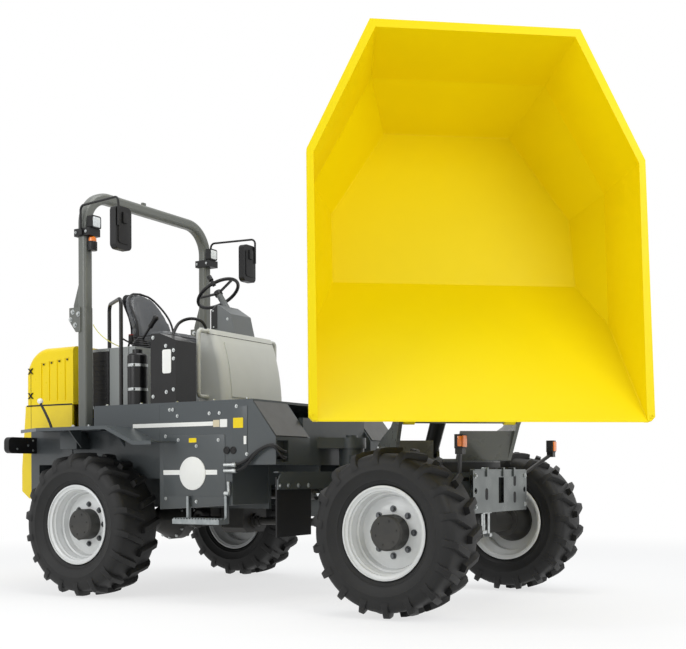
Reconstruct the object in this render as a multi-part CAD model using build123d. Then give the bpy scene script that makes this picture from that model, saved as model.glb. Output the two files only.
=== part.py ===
"""Articulated wheeled site dumper with a swivelling, front-tipping skip.

Machine frame while building: x forward from the rear axle, y to the machine's left, z up from the
ground, in millimetres.  At the end everything moves so that the origin lies on the ground in the
middle of the whole machine's box.
"""
from build123d import *
from math import atan2, cos, degrees, hypot, pi, radians, sin, sqrt
import os

# ---------------------------------------------------------------- driving dimensions
WHEELBASE = 2664
TRACK = 1888
FRONT_REACH = 914              # front axle, ahead of the articulation axis
PIVOT_X = WHEELBASE - FRONT_REACH    # articulation axis, from the rear axle
SWIVEL_X = WHEELBASE - 157     # skip turntable axis, from the rear axle
SWIVEL_REST = -53              # degrees, skip turned to the machine's right
RIM_SLOPE_TRAVEL = 12.8        # degrees, skip rim against level when carried
TIP_ANGLE = 72                 # degrees, from carried to fully tipped
STEER_ANGLE = 30               # degrees each way
ROPS_FOLD = 90                 # degrees, backwards
HOOD_OPEN = 60                 # degrees, backwards

SEAT_GAP = 0.3                 # air between pieces that only rest on each other
RUN_GAP = 0.05                 # radial clearance of a pin in its bore

# wheels
TYRE_R = 545
TYRE_W = 405
TREAD_W = 340
LUGS = 18                      # lugs on each half of the tread
LUG_H = 42
LUG_W = 52
LUG_LEAN = 80                  # how far a lug's middle end leads its shoulder end
RIM_R = 300
RIM_W = 330
RIM_SHEET = 9
DISC_T = 16
DISC_OUT = 25                  # wheel disc's outer face, outboard of the tyre's middle
HUB_R = 115
HUB_OUT = 130                  # end of the planetary hub, outboard of the tyre's middle
HUB_IN = 150                   # inner end of the hub
SPINDLE_R = 40
AXLE_R = 78
DIFF_R = 165
DIFF_NOSE = 250                # input flange, from the axle's middle
SHAFT_R = 30                   # drive shafts

# skip, measured along its rim plane from the lip (back) and square to it (depth)
SKIP_WALL = 8
RIM_BAND = 50
EAR_CUT = 24                   # cut corner of the band at each end of the lip
RIM_FOLD = 60
HINGE_BACK = 145
HINGE_DEPTH = 803
FLOOR_SLOPE = 0.19             # floor against the rim plane, rise over run
CREASE_DEPTH = 566
FLOOR_DEPTH = 820

# tip hinge and cylinder, from the swivel axis and the ground
HINGE_X = 710
HINGE_Z = 1295
HINGE_PIN_R = 35
TIP_BASE = (-450, 1080)        # barrel pin on the console (x, z)
TIP_EYE = (-476, 20)           # rod pin on the skip, from the hinge, in the skip's own frame
TIP_BARREL_R = 58
TIP_ROD_R = 30
TIP_BARREL_L = 655
TIP_ROD_L = 690

# steering cylinder, right side
STEER_BASE = (PIVOT_X - 700, -330, 770)
STEER_EYE = (PIVOT_X + 150, -330, 770)
STEER_BARREL_R = 38
STEER_ROD_R = 20
STEER_BARREL_L = 600
STEER_ROD_L = 540

# frame
DECK_Z = 1450
DECK_T = 18
BODY_Y = 850
PLATE_T = 10
RAIL_Y = 430
PIVOT_PIN_R = 45
RING_R = 430
RING_TOP = 995
FENDER_Z = 1280
FENDER_Y = 1120
FENDER_T = 6
FENDER_FOLD = 26               # depth of the fender's folded rim
FENDER_LOW = 1160              # top of the fender's front foot

# roll-over hoop
ROPS_X = -280
ROPS_Y = 730
ROPS_TOP = 3200
ROPS_TUBE = 90
ROPS_SPLIT_Z = 2245
ROPS_BEND = 240
ROPS_PIN = (-360, 2210)        # fold axis (x, z)
ROPS_PIN_R = 14

# hood
HOOD_FRONT = -450
HOOD_REAR = -1000
HOOD_Y = 700
HOOD_TOP = 1960
HOOD_SPLIT_Z = 1490
HOOD_T = 12
HOOD_CORNER = 240              # radius of the rear top corner
HOOD_EDGE = 45                 # radius along the sides of the roof
LOUVRES = 4
LOUVRE_PITCH = 90
LOUVRE_W = 54
LOUVRE_DEPTH = 6
LOUVRE_Z = (1525, 1865)
TAIL_LOW = 725                 # underside of the tail weight
TAIL_OUT = 45                  # how far the tail weight stands out behind the hood
HOOD_PIN_R = 8

# seat and controls
SEAT_BOX_TOP = 1930
SEAT_BOX_FRONT = 120
SEAT_BOX_Y = 600
COWL_Y = 390
WHEEL_CENTRE = (470, 0, 2400)
WHEEL_TILT = 35                # degrees, steering wheel against level
WHEEL_R = 180
WHEEL_BOSS = 34                # height of the steering wheel's boss


# ---------------------------------------------------------------- helpers
def slab_xz(points, y_low, y_high):
    """Plate with its outline in x and z, from y_low to y_high."""
    outline = Polyline(*[(x, y_low, z) for x, z in points], close=True)
    return extrude(make_face(outline), amount=y_high - y_low, dir=(0, 1, 0))


def slab_xy(points, z_low, z_high):
    """Plate with its outline in x and y, from z_low to z_high."""
    outline = Polyline(*[(x, y, z_low) for x, y in points], close=True)
    return extrude(make_face(outline), amount=z_high - z_low, dir=(0, 0, 1))


def slab_yz(points, x_low, x_high):
    """Plate with its outline in y and z, from x_low to x_high."""
    outline = Polyline(*[(x_low, y, z) for y, z in points], close=True)
    return extrude(make_face(outline), amount=x_high - x_low, dir=(1, 0, 0))


def block(x0, x1, y0, y1, z0, z1):
    """Box between two corners."""
    size = Box(x1 - x0, y1 - y0, z1 - z0, align=(Align.MIN, Align.MIN, Align.MIN))
    return Pos(x0, y0, z0) * size


ON_BASE = (Align.CENTER, Align.CENTER, Align.MIN)


def bar(start, end, radius):
    """Round bar between two points."""
    start, end = Vector(*start), Vector(*end)
    stock = Cylinder(radius, (end - start).length, align=ON_BASE)
    return Plane(origin=start, z_dir=end - start) * stock


def pin_y(x, z, y_low, y_high, radius):
    """Round pin across the machine."""
    return bar((x, y_low, z), (x, y_high, z), radius)


def bent_tube(points, bend, radius):
    """Round tube along straight runs joined by bends."""
    path = FilletPolyline(*points, radius=bend)
    return sweep(Plane(origin=path @ 0, z_dir=path % 0) * Circle(radius), path=path)


def both_sides(part):
    """A left-hand piece and its mirror image."""
    return [part, mirror(part, about=Plane.XZ)]


def fuse(parts):
    """All pieces as one."""
    whole = parts[0]
    for piece in parts[1:]:
        whole = whole + piece
    return whole


# ---------------------------------------------------------------- wheels
def casing_ring(radius, y):
    """Flat-sided ring of the tyre's casing, with one flat for each lug."""
    reach = radius / cos(pi / LUGS)
    turns = [2 * pi * (number + 0.5) / LUGS for number in range(LUGS)]
    return Wire.make_polygon([(reach * sin(turn), y, reach * cos(turn)) for turn in turns])


def tyre():
    """Lugged left-hand dumper tyre about the y axis, outboard towards +y.

    Each half of the casing carries one leaning lug on each of its flats.  The halves are turned
    against each other by half a pitch, so that their lugs interlock as a chevron.
    """
    half, edge, root = TYRE_W / 2, TREAD_W / 2, TYRE_R - LUG_H
    bead_y = RIM_W / 2 - 14 - SEAT_GAP
    line = [(root, 0), (root, edge), (RIM_R + 95, half), (RIM_R + 2, bead_y)]
    casing = Solid.make_loft([casing_ring(radius, y) for radius, y in line], ruled=True)
    bore = Solid.make_loft([casing_ring(RIM_R - 22, y) for y in (-1, bead_y + 1)], ruled=True)
    tip = sqrt(TYRE_R ** 2 - (LUG_LEAN / 2 + LUG_W / 2) ** 2)
    section = [(0, root - 30), (0, tip), (edge, tip - 10), (half + 2, tip - 95), (edge - 20, root - 30)]
    lean = LUG_LEAN / half
    outline = Polyline(*[((LUG_LEAN - LUG_W) / 2 - lean * y, y, z) for y, z in section], close=True)
    lug = extrude(make_face(outline), amount=LUG_W, dir=(1, 0, 0))
    pitch = 360 / LUGS
    outer = casing.fuse(*[Rot(0, pitch * number, 0) * lug for number in range(LUGS)]) - bore
    inner = Rot(0, pitch / 2, 0) * mirror(outer, about=Plane.XZ)
    return outer + inner


def rim():
    """Deep-dished disc wheel: well, two flanges and the bolted disc."""
    well_r = RIM_R - 22 - SEAT_GAP
    drop_r = well_r - 38
    half = RIM_W / 2
    # outer line of the well from the inboard flange to the outboard one, as (radius, y)
    line = [(RIM_R, -half), (RIM_R, -half + 8), (well_r, -half + 14), (well_r, -90), (drop_r, -60),
            (drop_r, 20), (well_r, 60), (well_r, half - 14), (RIM_R, half - 8), (RIM_R, half)]
    inner = [(r - RIM_SHEET, y) for r, y in reversed(line)]
    well = revolve(make_face(Polyline(*line, *inner, close=True)), axis=Axis.Y)
    disc = pin_y(0, 0, DISC_OUT - DISC_T, DISC_OUT, drop_r - RIM_SHEET / 2)
    hole = pin_y(0, 0, DISC_OUT - DISC_T - 1, DISC_OUT + 1, HUB_R - 20)
    return well + disc - hole


def hub():
    """Planetary hub with the wheel flange, turning with the wheel."""
    line = [(SPINDLE_R + RUN_GAP, -HUB_IN), (HUB_R, -HUB_IN), (HUB_R + 22, -HUB_IN + 60),
            (HUB_R + 48, DISC_OUT - DISC_T - 30 - SEAT_GAP), (HUB_R + 48, DISC_OUT - DISC_T - SEAT_GAP),
            (HUB_R - 20 - SEAT_GAP, DISC_OUT - DISC_T - SEAT_GAP),
            (HUB_R - 20 - SEAT_GAP, DISC_OUT + SEAT_GAP), (HUB_R, DISC_OUT + SEAT_GAP),
            (HUB_R, HUB_OUT - 12), (HUB_R - 12, HUB_OUT), (0, HUB_OUT), (0, 40),
            (SPINDLE_R + RUN_GAP, 40)]
    return revolve(make_face(Polyline(*line, close=True)), axis=Axis.Y)


# name, axle's x, side (+1 left)
WHEELS = [
    ("rear_left", 0, 1),
    ("rear_right", 0, -1),
    ("front_left", WHEELBASE, 1),
    ("front_right", WHEELBASE, -1),
]


def wheel_place(x, side):
    """Wheel's middle on its axle, outboard side outwards."""
    turn = Rot(0, 0, 0 if side > 0 else 180)
    return Pos(x, side * TRACK / 2, TYRE_R) * turn


# ---------------------------------------------------------------- axles
def axle(x, pads, ahead):
    """Rigid drive axle; pads are (y, top) of the frame seats, ahead points to the input flange."""
    end = TRACK / 2 - HUB_IN - 5
    tube = pin_y(x, TYRE_R, -end, end, AXLE_R)
    spindles = pin_y(x, TYRE_R, -TRACK / 2 - 35, TRACK / 2 + 35, SPINDLE_R)
    flanges = [pin_y(x, TYRE_R, side * end - 25 * (side > 0), side * end + 25 * (side < 0), HUB_R)
               for side in (1, -1)]
    banjo = [(0, -DIFF_R - 85), (AXLE_R, -DIFF_R - 85), (DIFF_R - 20, -DIFF_R / 2), (DIFF_R, -DIFF_R / 3),
             (DIFF_R, DIFF_R / 3), (DIFF_R - 20, DIFF_R / 2), (AXLE_R, DIFF_R + 85), (0, DIFF_R + 85)]
    housing = Pos(x, 0, TYRE_R) * revolve(make_face(Polyline(*banjo, close=True)), axis=Axis.Y)
    nose = bar((x, 0, TYRE_R), (x + ahead * (DIFF_NOSE - 15), 0, TYRE_R), 62)
    flange = bar((x + ahead * (DIFF_NOSE - 20), 0, TYRE_R), (x + ahead * DIFF_NOSE, 0, TYRE_R), 72)
    seats = []
    for y, top in pads:
        seats += both_sides(block(x - 90, x + 90, y - 60, y + 60, TYRE_R, top))
    return fuse([tube, spindles, housing, nose, flange] + flanges + seats)


def shaft(start, end):
    """Drive shaft along x at axle height, with a yoke at each end."""
    ends = [bar((start, 0, TYRE_R), (start + 40, 0, TYRE_R), SHAFT_R + 12),
            bar((end - 40, 0, TYRE_R), (end, 0, TYRE_R), SHAFT_R + 12)]
    return fuse([bar((start, 0, TYRE_R), (end, 0, TYRE_R), SHAFT_R)] + ends)


# ---------------------------------------------------------------- rear frame
RAIL_LOW = 660
RAIL_HIGH = 900
RAIL_END = PIVOT_X - 460
MID_WALL = (600, 615)          # x of the wall behind the cowl
INNER_Y = (690, 700)           # inner panels over the wheels
SHAFT_END = 50                 # drive shafts stop this far from the articulation axis
NECK_Y = 220                   # half width of the neck that carries the lower fork plate
NECK_TOP = DECK_Z - 120        # top of the walls before and behind the neck
END_WALL_LOW = 840             # foot of the rails' end wall, over the steering cylinder
FORK_LOW = (TYRE_R + 55, TYRE_R + 105)    # z of the lower fork plate, over the drive shaft
FORK_HIGH = (1110, 1190)       # z of the upper fork plate
NECK_ROOF = 985                # underside of the tanks and the front wall over the neck
FORK_NOSE = 110                # radius round the articulation pin


def fork_plate(z_low, z_high, back_x, back_y):
    """Fork plate that narrows to a round nose at the articulation pin."""
    taper = slab_xy([(back_x, -back_y), (PIVOT_X, -FORK_NOSE), (PIVOT_X, FORK_NOSE),
                     (back_x, back_y)], z_low, z_high)
    nose = bar((PIVOT_X, 0, z_low), (PIVOT_X, 0, z_high), FORK_NOSE)
    return taper + nose


def rear_chassis():
    """Welded rear frame: rails, cross walls and inner panels."""
    rails = both_sides(block(HOOD_REAR + 60, RAIL_END, RAIL_Y - 30, RAIL_Y, RAIL_LOW, RAIL_HIGH))
    ahead = MID_WALL[0] - 10
    inner = both_sides(slab_xz([(HOOD_FRONT, RAIL_HIGH), (ahead, RAIL_HIGH), (ahead, DECK_Z - DECK_T),
                                (RISER_X[1] + 1, DECK_Z - DECK_T), (RISER_X[1] + 1, FENDER_Z - DECK_T),
                                (HOOD_FRONT, FENDER_Z - DECK_T)], *INNER_Y))
    shelves = both_sides(block(HOOD_FRONT, ahead, RAIL_Y - 30, INNER_Y[1], RAIL_HIGH - 12, RAIL_HIGH))
    rail_end = block(RAIL_END - 20, RAIL_END, -RAIL_Y, RAIL_Y, END_WALL_LOW, NECK_TOP)
    mid_wall = block(*MID_WALL, -RAIL_Y, RAIL_Y, RAIL_LOW, DECK_Z - DECK_T)
    tail_wall = block(HOOD_REAR + 60, HOOD_REAR + 80, -RAIL_Y, RAIL_Y, RAIL_LOW, RAIL_HIGH)
    lugs = steer_lugs(STEER_BASE[0], -RAIL_Y + 30)
    return fuse(rails + inner + shelves + [rail_end, mid_wall, tail_wall, lugs])


def pivot_fork():
    """Articulation fork on the end of the rear frame, with the pin through both plates."""
    root = RAIL_END + SEAT_GAP
    web_z = (FORK_LOW[0], NECK_ROOF + 15)
    root_plate = block(root, root + 20, -NECK_Y, NECK_Y, *web_z)
    wall_end = PIVOT_X - 150
    webs = both_sides(block(root, wall_end, NECK_Y - 20, NECK_Y, *web_z))
    front_wall = block(wall_end - 40, wall_end, -RAIL_Y, RAIL_Y, NECK_ROOF, NECK_TOP)
    plates = [fork_plate(*FORK_LOW, root, NECK_Y), fork_plate(*FORK_HIGH, wall_end - 100, RAIL_Y - 100)]
    pin = bar((PIVOT_X, 0, FORK_LOW[0] - 20), (PIVOT_X, 0, FORK_HIGH[1] + 20), PIVOT_PIN_R)
    return fuse(webs + [root_plate, front_wall, pin] + plates)


def drive_line():
    """Transfer box on the middle wall, with the shafts to the rear axle and to the articulation."""
    back = MID_WALL[1] + SEAT_GAP
    box = block(back, back + 220, -150, 150, TYRE_R - 90, RAIL_LOW + 120)
    box = chamfer(box.edges().filter_by(Axis.X), 40)
    outlet = bar((back - 25, 0, TYRE_R), (back + 245, 0, TYRE_R), 60)
    return fuse([box, outlet, shaft(DIFF_NOSE + SEAT_GAP, back - 20),
                 shaft(back + 240, PIVOT_X - SHAFT_END)])


RISER_X = (-60, -50)           # step in the floor between the hoop's shelves and the deck
SHELF_Y = 800
FENDER_KNEE = 315              # where the fender's slope starts
DECK_END = PIVOT_X - 285


def rear_deck():
    """Tread-plate deck of the operator's place and the shelves that carry the hoop."""
    deck = block(RISER_X[0], DECK_END, -BODY_Y, BODY_Y, DECK_Z - DECK_T, DECK_Z)
    shelves = both_sides(block(HOOD_FRONT, RISER_X[0], RAIL_Y, SHELF_Y, FENDER_Z - DECK_T, FENDER_Z))
    riser = block(*RISER_X, -SHELF_Y, SHELF_Y, FENDER_Z - DECK_T, DECK_Z)
    heel = RISER_X[0] - 10
    skirt = [(heel, FENDER_Z), (FENDER_KNEE, FENDER_Z), (MID_WALL[0] - 15, FENDER_LOW),
             (MID_WALL[0], FENDER_LOW), (MID_WALL[0], DECK_Z - DECK_T), (RISER_X[0], DECK_Z - DECK_T),
             (heel, DECK_Z)]
    skirts = both_sides(slab_xz(skirt, BODY_Y - PLATE_T, BODY_Y))
    return fuse([deck, riser] + shelves + skirts)


TANK_FRONT = PIVOT_X - 90
TANK_BACK = MID_WALL[0] + 1
TANK_BROW = 1180               # where the tank's slanted front starts


def tank():
    """Left side tank between the wheels, with its slanted front and the slot below it."""
    top = DECK_Z - DECK_T - SEAT_GAP
    step_x = RAIL_END - 10
    outline = [(TANK_BACK, RAIL_LOW), (step_x, RAIL_LOW + 40), (step_x, NECK_ROOF),
               (TANK_FRONT, NECK_ROOF), (TANK_FRONT, TANK_BROW), (DECK_END, top), (TANK_BACK, top)]
    slot = block(TANK_FRONT - 45, TANK_FRONT + 1, BODY_Y - 150, BODY_Y - 15,
                 NECK_ROOF + 20, TANK_BROW - 25)
    return slab_xz(outline, RAIL_Y + SEAT_GAP, BODY_Y) - slot


def fender():
    """Left rear fender: flat top with a cut corner, slope down to the front and a folded rim."""
    knee, low = (FENDER_KNEE, FENDER_Z), FENDER_LOW
    foot, end = MID_WALL[0] - 10, MID_WALL[0] + 160
    cut, back, corner = -405, HOOD_REAR + 200, FENDER_Y - 195
    heel, tail_y = RISER_X[0] - 10 - SEAT_GAP, HOOD_Y + SEAT_GAP
    plan = [(back, tail_y), (back, corner), (cut, FENDER_Y), (FENDER_KNEE, FENDER_Y),
            (FENDER_KNEE, BODY_Y + SEAT_GAP), (heel, BODY_Y + SEAT_GAP), (heel, SHELF_Y + SEAT_GAP),
            (HOOD_FRONT - SEAT_GAP, SHELF_Y + SEAT_GAP), (HOOD_FRONT - SEAT_GAP, tail_y)]
    top = slab_xy(plan, FENDER_Z - FENDER_T, FENDER_Z)
    slope = slab_xz([knee, (foot, low), (end, low), (end, low - FENDER_T), (foot - 2, low - FENDER_T),
                     (FENDER_KNEE - 2, FENDER_Z - FENDER_T)], BODY_Y + SEAT_GAP, FENDER_Y)
    rim = slab_xz([(cut, FENDER_Z), knee, (foot, low), (end, low), (end, low - FENDER_FOLD),
                   (foot - 6, low - FENDER_FOLD), (FENDER_KNEE - 6, FENDER_Z - FENDER_FOLD),
                   (cut, FENDER_Z - FENDER_FOLD)], FENDER_Y - FENDER_T, FENDER_Y)
    corner_rim = slab_xy([(back, corner), (cut, FENDER_Y), (cut, FENDER_Y - FENDER_T),
                          (back, corner - FENDER_T)], FENDER_Z - FENDER_FOLD, FENDER_Z)
    return fuse([top, slope, rim, corner_rim])


def tail_lamp():
    """Left rear lamp cluster on the side of the tail weight."""
    box = block(HOOD_REAR + 75, HOOD_REAR + 130, HOOD_Y + SEAT_GAP, HOOD_Y + 285,
                FENDER_Z - 185, FENDER_Z - 55)
    outer = box.edges().filter_by(Axis.X).group_by(Axis.Y)[-1]
    return fillet(outer, 40)


ENGINE_X = (HOOD_REAR + 280, -100)
ENGINE_Y = 330
ENGINE_TOP = 1400


def engine():
    """Engine and pump as one plain block."""
    return block(*ENGINE_X, -ENGINE_Y, ENGINE_Y, RAIL_LOW + 60, ENGINE_TOP)


def engine_mounts():
    """Cross bearers that carry the engine on the rails."""
    return fuse([block(x - 30, x + 30, -RAIL_Y + 30, RAIL_Y - 30, RAIL_LOW + 20, RAIL_LOW + 60)
                 for x in (ENGINE_X[0] + 120, ENGINE_X[1] - 100)])


def counterweight():
    """Cast tail weight that swells to the rear, with side cheeks under the hood."""
    outline = [(HOOD_REAR, HOOD_SPLIT_Z), (HOOD_REAR, HOOD_SPLIT_Z - 40),
               (HOOD_REAR - TAIL_OUT, HITCH_Z[1] + 60),
               (HOOD_REAR - TAIL_OUT, HITCH_Z[0] - 5), (HOOD_REAR + 40, TAIL_LOW),
               (HOOD_REAR + 160, TAIL_LOW), (HOOD_REAR + 160, HOOD_SPLIT_Z)]
    rear = slab_xz(outline, -HOOD_Y, HOOD_Y)
    rear = rear - block(HOOD_REAR + 60 - SEAT_GAP, HOOD_REAR + 161, -RAIL_Y - SEAT_GAP,
                        RAIL_Y + SEAT_GAP, TAIL_LOW - 1, RAIL_HIGH + SEAT_GAP)
    cheeks = both_sides(block(HOOD_REAR, HOOD_FRONT - 12, HOOD_Y - 20, HOOD_Y, 1000, HOOD_SPLIT_Z))
    knuckles = both_sides(block(HOOD_REAR - 30, HOOD_REAR, 380, 420, HOOD_SPLIT_Z - 40, HOOD_SPLIT_Z)
                          + pin_y(HOOD_REAR - 15, HOOD_SPLIT_Z, 380, 420, HOOD_PIN_R + 4))
    pins = both_sides(pin_y(HOOD_REAR - 15, HOOD_SPLIT_Z, 380, 480, HOOD_PIN_R))
    return fuse([rear] + cheeks + knuckles + pins)


HITCH_Z = (790, 912)           # underside and top of the tow jaw
HITCH_X = HOOD_REAR - TAIL_OUT - SEAT_GAP
HITCH_REACH = 80               # drawbar pin, from the tail weight
HITCH_PIN_R = 17


def tow_hitch():
    """Jaw coupling on the tail weight; the bore takes a drawbar pin."""
    low, high = HITCH_Z
    jaw = block(HITCH_X - HITCH_REACH, HITCH_X, -70, 70, low, high)
    nose = bar((HITCH_X - HITCH_REACH, 0, low), (HITCH_X - HITCH_REACH, 0, high), 70)
    mouth = block(HITCH_X - HITCH_REACH - 75, HITCH_X - 22, -71, 71, low + 22, high - 22)
    bore = bar((HITCH_X - HITCH_REACH, 0, low - 1), (HITCH_X - HITCH_REACH, 0, high + 1), HITCH_PIN_R)
    return jaw + nose - mouth - bore


def hood_form(inset):
    """Hood's outer form pushed inwards: round rear top corner and rounded roof edges."""
    base = HOOD_SPLIT_Z + SEAT_GAP - (1 if inset else 0)
    form = block(HOOD_REAR + inset, HOOD_FRONT - inset, -HOOD_Y + inset, HOOD_Y - inset, base,
                 HOOD_TOP - inset)
    form = fillet(form.edges().filter_by(Axis.Y).group_by(Axis.X)[0].sort_by(Axis.Z)[-1],
                  HOOD_CORNER - inset)
    sides = [edge for edge in form.edges()
             if abs(abs(edge.center().Y) - HOOD_Y + inset) < 1 and edge.center().Z > base + 2
             and edge.center().X < HOOD_FRONT - inset - 1]
    return fillet(sides, HOOD_EDGE - inset)


def hood():
    """Moulded engine hood with louvred sides, open below, tipping backwards."""
    base = HOOD_SPLIT_Z + SEAT_GAP
    shell = hood_form(0) - hood_form(HOOD_T)
    front_gap = block(HOOD_FRONT - HOOD_T - 1, HOOD_FRONT + 1, -600, 600, base - 1, HOOD_TOP - 120)
    low, high = LOUVRE_Z
    louvres = []
    for number in range(LOUVRES):
        x = HOOD_FRONT - 67 - LOUVRE_PITCH * number
        drop = 9 * number
        louvres += both_sides(block(x - LOUVRE_W / 2, x + LOUVRE_W / 2, HOOD_Y - LOUVRE_DEPTH,
                                    HOOD_Y + 1, low, high - drop))
    knuckles = both_sides(block(HOOD_REAR - 28, HOOD_REAR + 6, 421, 470, base, base + 60)
                          + pin_y(HOOD_REAR - 15, HOOD_SPLIT_Z, 421, 470, HOOD_PIN_R + 7))
    bores = both_sides(pin_y(HOOD_REAR - 15, HOOD_SPLIT_Z, 379, 481, HOOD_PIN_R + RUN_GAP))
    body = fuse([shell - front_gap] + knuckles)
    return body - fuse(louvres) - fuse(bores)


# ---------------------------------------------------------------- operator's place
SEAT_Y = 245                   # half width of the seat
SEAT_CREASE = -280             # where cushion and back meet
SEAT_BASE_H = 60
SEAT_BACK_TOP = 2490


def seat_box():
    """Cabinet under the seat, over the engine's front."""
    return block(HOOD_FRONT + 10, SEAT_BOX_FRONT, -SEAT_BOX_Y, SEAT_BOX_Y, DECK_Z + SEAT_GAP,
                 SEAT_BOX_TOP)


def seat_base():
    """Suspension box under the cushion."""
    return block(HOOD_FRONT + 12, SEAT_BOX_FRONT - 20, -SEAT_Y + 55, SEAT_Y - 55,
                 SEAT_BOX_TOP + SEAT_GAP, SEAT_BOX_TOP + SEAT_BASE_H)


def seat_cushion():
    """Plain cushion solid."""
    z = SEAT_BOX_TOP + SEAT_BASE_H + SEAT_GAP
    pad = block(SEAT_CREASE, SEAT_BOX_FRONT + 10, -SEAT_Y, SEAT_Y, z, z + 110)
    return fillet(pad.edges().filter_by(Axis.Z), 60)


def seat_back():
    """Bucket back with a round top and sides that wrap forward."""
    low = SEAT_BOX_TOP + SEAT_BASE_H + SEAT_GAP
    front = SEAT_CREASE - SEAT_GAP
    back = slab_xz([(SEAT_CREASE - 120, low), (front, low), (front, low + 120),
                    (SEAT_CREASE - 60, SEAT_BACK_TOP), (SEAT_CREASE - 180, SEAT_BACK_TOP)],
                   -SEAT_Y, SEAT_Y)
    back = fillet(back.edges().filter_by(Axis.X).group_by(Axis.Z)[-1], 150)
    wings = both_sides(slab_xz([(front - 10, low + 125), (front + 85, low + 150), (front + 30, low + 330),
                                (SEAT_CREASE - 55, low + 400)], SEAT_Y - 60, SEAT_Y))
    return fuse([back] + wings)


COWL_FRONT_TOP = (740, 2040)
COWL_REAR_TOP = (600, 2070)
COWL_BACK = 590
COWL_NOSE = 850
COWL_BELLY = (822, 1760)       # point on the bulging front
COWL_EDGE = 55


def cowl():
    """Steering cowl in front of the operator: tall moulded cover with a bulging, raised front."""
    base = DECK_Z + SEAT_GAP
    rear = Polyline((*COWL_FRONT_TOP,), (*COWL_REAR_TOP,), (COWL_BACK, COWL_REAR_TOP[1] - 10),
                    (COWL_BACK, base), (COWL_NOSE, base))
    front = ThreePointArc((COWL_NOSE, base), COWL_BELLY, COWL_FRONT_TOP)
    profile = Plane.XZ * make_face([*rear.edges(), front])
    body = extrude(profile, amount=COWL_Y, both=True)
    corners = [edge for edge in body.edges().filter_by(GeomType.CIRCLE)]
    body = fillet(corners, COWL_EDGE)
    panel = Pos(8, 0, 0) * extrude(profile, amount=COWL_Y - 80, both=True)
    window = block(COWL_NOSE - 120, COWL_NOSE + 20, -COWL_Y, COWL_Y, base + 70, COWL_FRONT_TOP[1] - 90)
    return body + (panel & window)


def dash_pod():
    """Instrument pod on the cowl with the steering column's head."""
    (rear_x, rear_z), (front_x, front_z) = COWL_REAR_TOP, COWL_FRONT_TOP
    outline = [(500, rear_z + 10), (rear_x, rear_z + SEAT_GAP), (front_x, front_z + SEAT_GAP),
               (700, 2200), (560, 2290), (500, 2240)]
    tilt = radians(WHEEL_TILT)
    column = [(WHEEL_CENTRE[0] + along * sin(tilt), 0, WHEEL_CENTRE[2] - along * cos(tilt))
              for along in (WHEEL_BOSS / 2 + SEAT_GAP, 190)]
    pod = slab_xz(outline, -130, 130)
    pod = fillet(pod.edges().filter_by(Axis.Y).group_by(Axis.Z)[-2:], 20)
    return pod + bar(*column, 26)


def steering_wheel():
    """Rim, spokes and knob about the local z axis, before tilting."""
    spokes = [Rot(0, 0, angle) * Pos(WHEEL_R / 2, 0, 0) * Box(WHEEL_R - 10, 24, 10)
              for angle in (0, 120, 240)]
    wheel = fuse([Cylinder(34, WHEEL_BOSS)] + spokes) + Torus(WHEEL_R, 14)
    clamp = Box(36, 30, 36)
    stem = Pos(0, 0, 17) * Cylinder(9, 16, align=ON_BASE)
    knob = Pos(0, 0, 32) * Cylinder(20, 40, align=ON_BASE)
    return wheel + Rot(0, 0, -60) * Pos(WHEEL_R, 0, 0) * (clamp + stem + knob)


BOX_DESK = 1970                # top of the right-hand console
BOX_X = (505, 750)
BOX_Y = (-840, -610)
LEVER = (44, -450)             # joystick's foot on the cabinet (x, y)


def control_box():
    """Right-hand control console."""
    base = DECK_Z + SEAT_GAP
    heel, nose = BOX_X
    outline = [(heel, base), (nose, base), (nose, BOX_DESK - 60), (nose - 60, BOX_DESK - 35),
               (heel + 90, BOX_DESK), (heel, BOX_DESK)]
    return slab_xz(outline, *BOX_Y)


def control_lever():
    """Joystick with its gaiter, on the cabinet beside the seat."""
    x, y = LEVER
    foot = SEAT_BOX_TOP + SEAT_GAP
    gaiter = Pos(x, y, foot) * Cone(75, 26, 75, align=ON_BASE)
    stem = bar((x, y, foot + 40), (x + 100, y, foot + 160), 9)
    grip = bar((x + 92, y, foot + 150), (x + 175, y, foot + 250), 19)
    return fuse([gaiter, stem, grip])


CANISTER = (262, -720)         # axis of the reservoir (x, y)
CANISTER_R = 76
CANISTER_H = 400


def canister():
    """Black upright reservoir beside the seat box."""
    z = DECK_Z + SEAT_GAP
    body = Pos(*CANISTER, z) * Cylinder(CANISTER_R, CANISTER_H, align=ON_BASE)
    cap = Pos(*CANISTER, z + CANISTER_H - 1) * Cylinder(38, 31, align=ON_BASE)
    return fillet(body.edges().group_by(Axis.Z)[-1], 25) + cap


RAIL_FEET = [(-170, -580), (150, -780)]    # entry rail's legs, on the cabinet and on the deck (x, y)
RAIL_LOOP_TOP = 2280


def grab_rail():
    """Right-hand entry rail: a tall loop beside the seat."""
    rear, ahead = RAIL_FEET
    return bent_tube([(*rear, SEAT_BOX_TOP + SEAT_GAP), (*rear, RAIL_LOOP_TOP), (*ahead, RAIL_LOOP_TOP),
                      (*ahead, DECK_Z + SEAT_GAP)], 60, 15)


LOOP_Z = (1520, 2030)          # ends of the cowl's grab loops


def cowl_loop():
    """Grab loop at the cowl's rear corner."""
    x = COWL_BACK + 85
    root, y = -COWL_Y - SEAT_GAP, -COWL_Y - 105
    low, high = LOOP_Z
    return bent_tube([(x, root, high), (x, y, high), (x, y, low), (x, root, low)], 30, 16)


STEP_X = (860, 1285)
STEP_Z = (565, 600)


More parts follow.
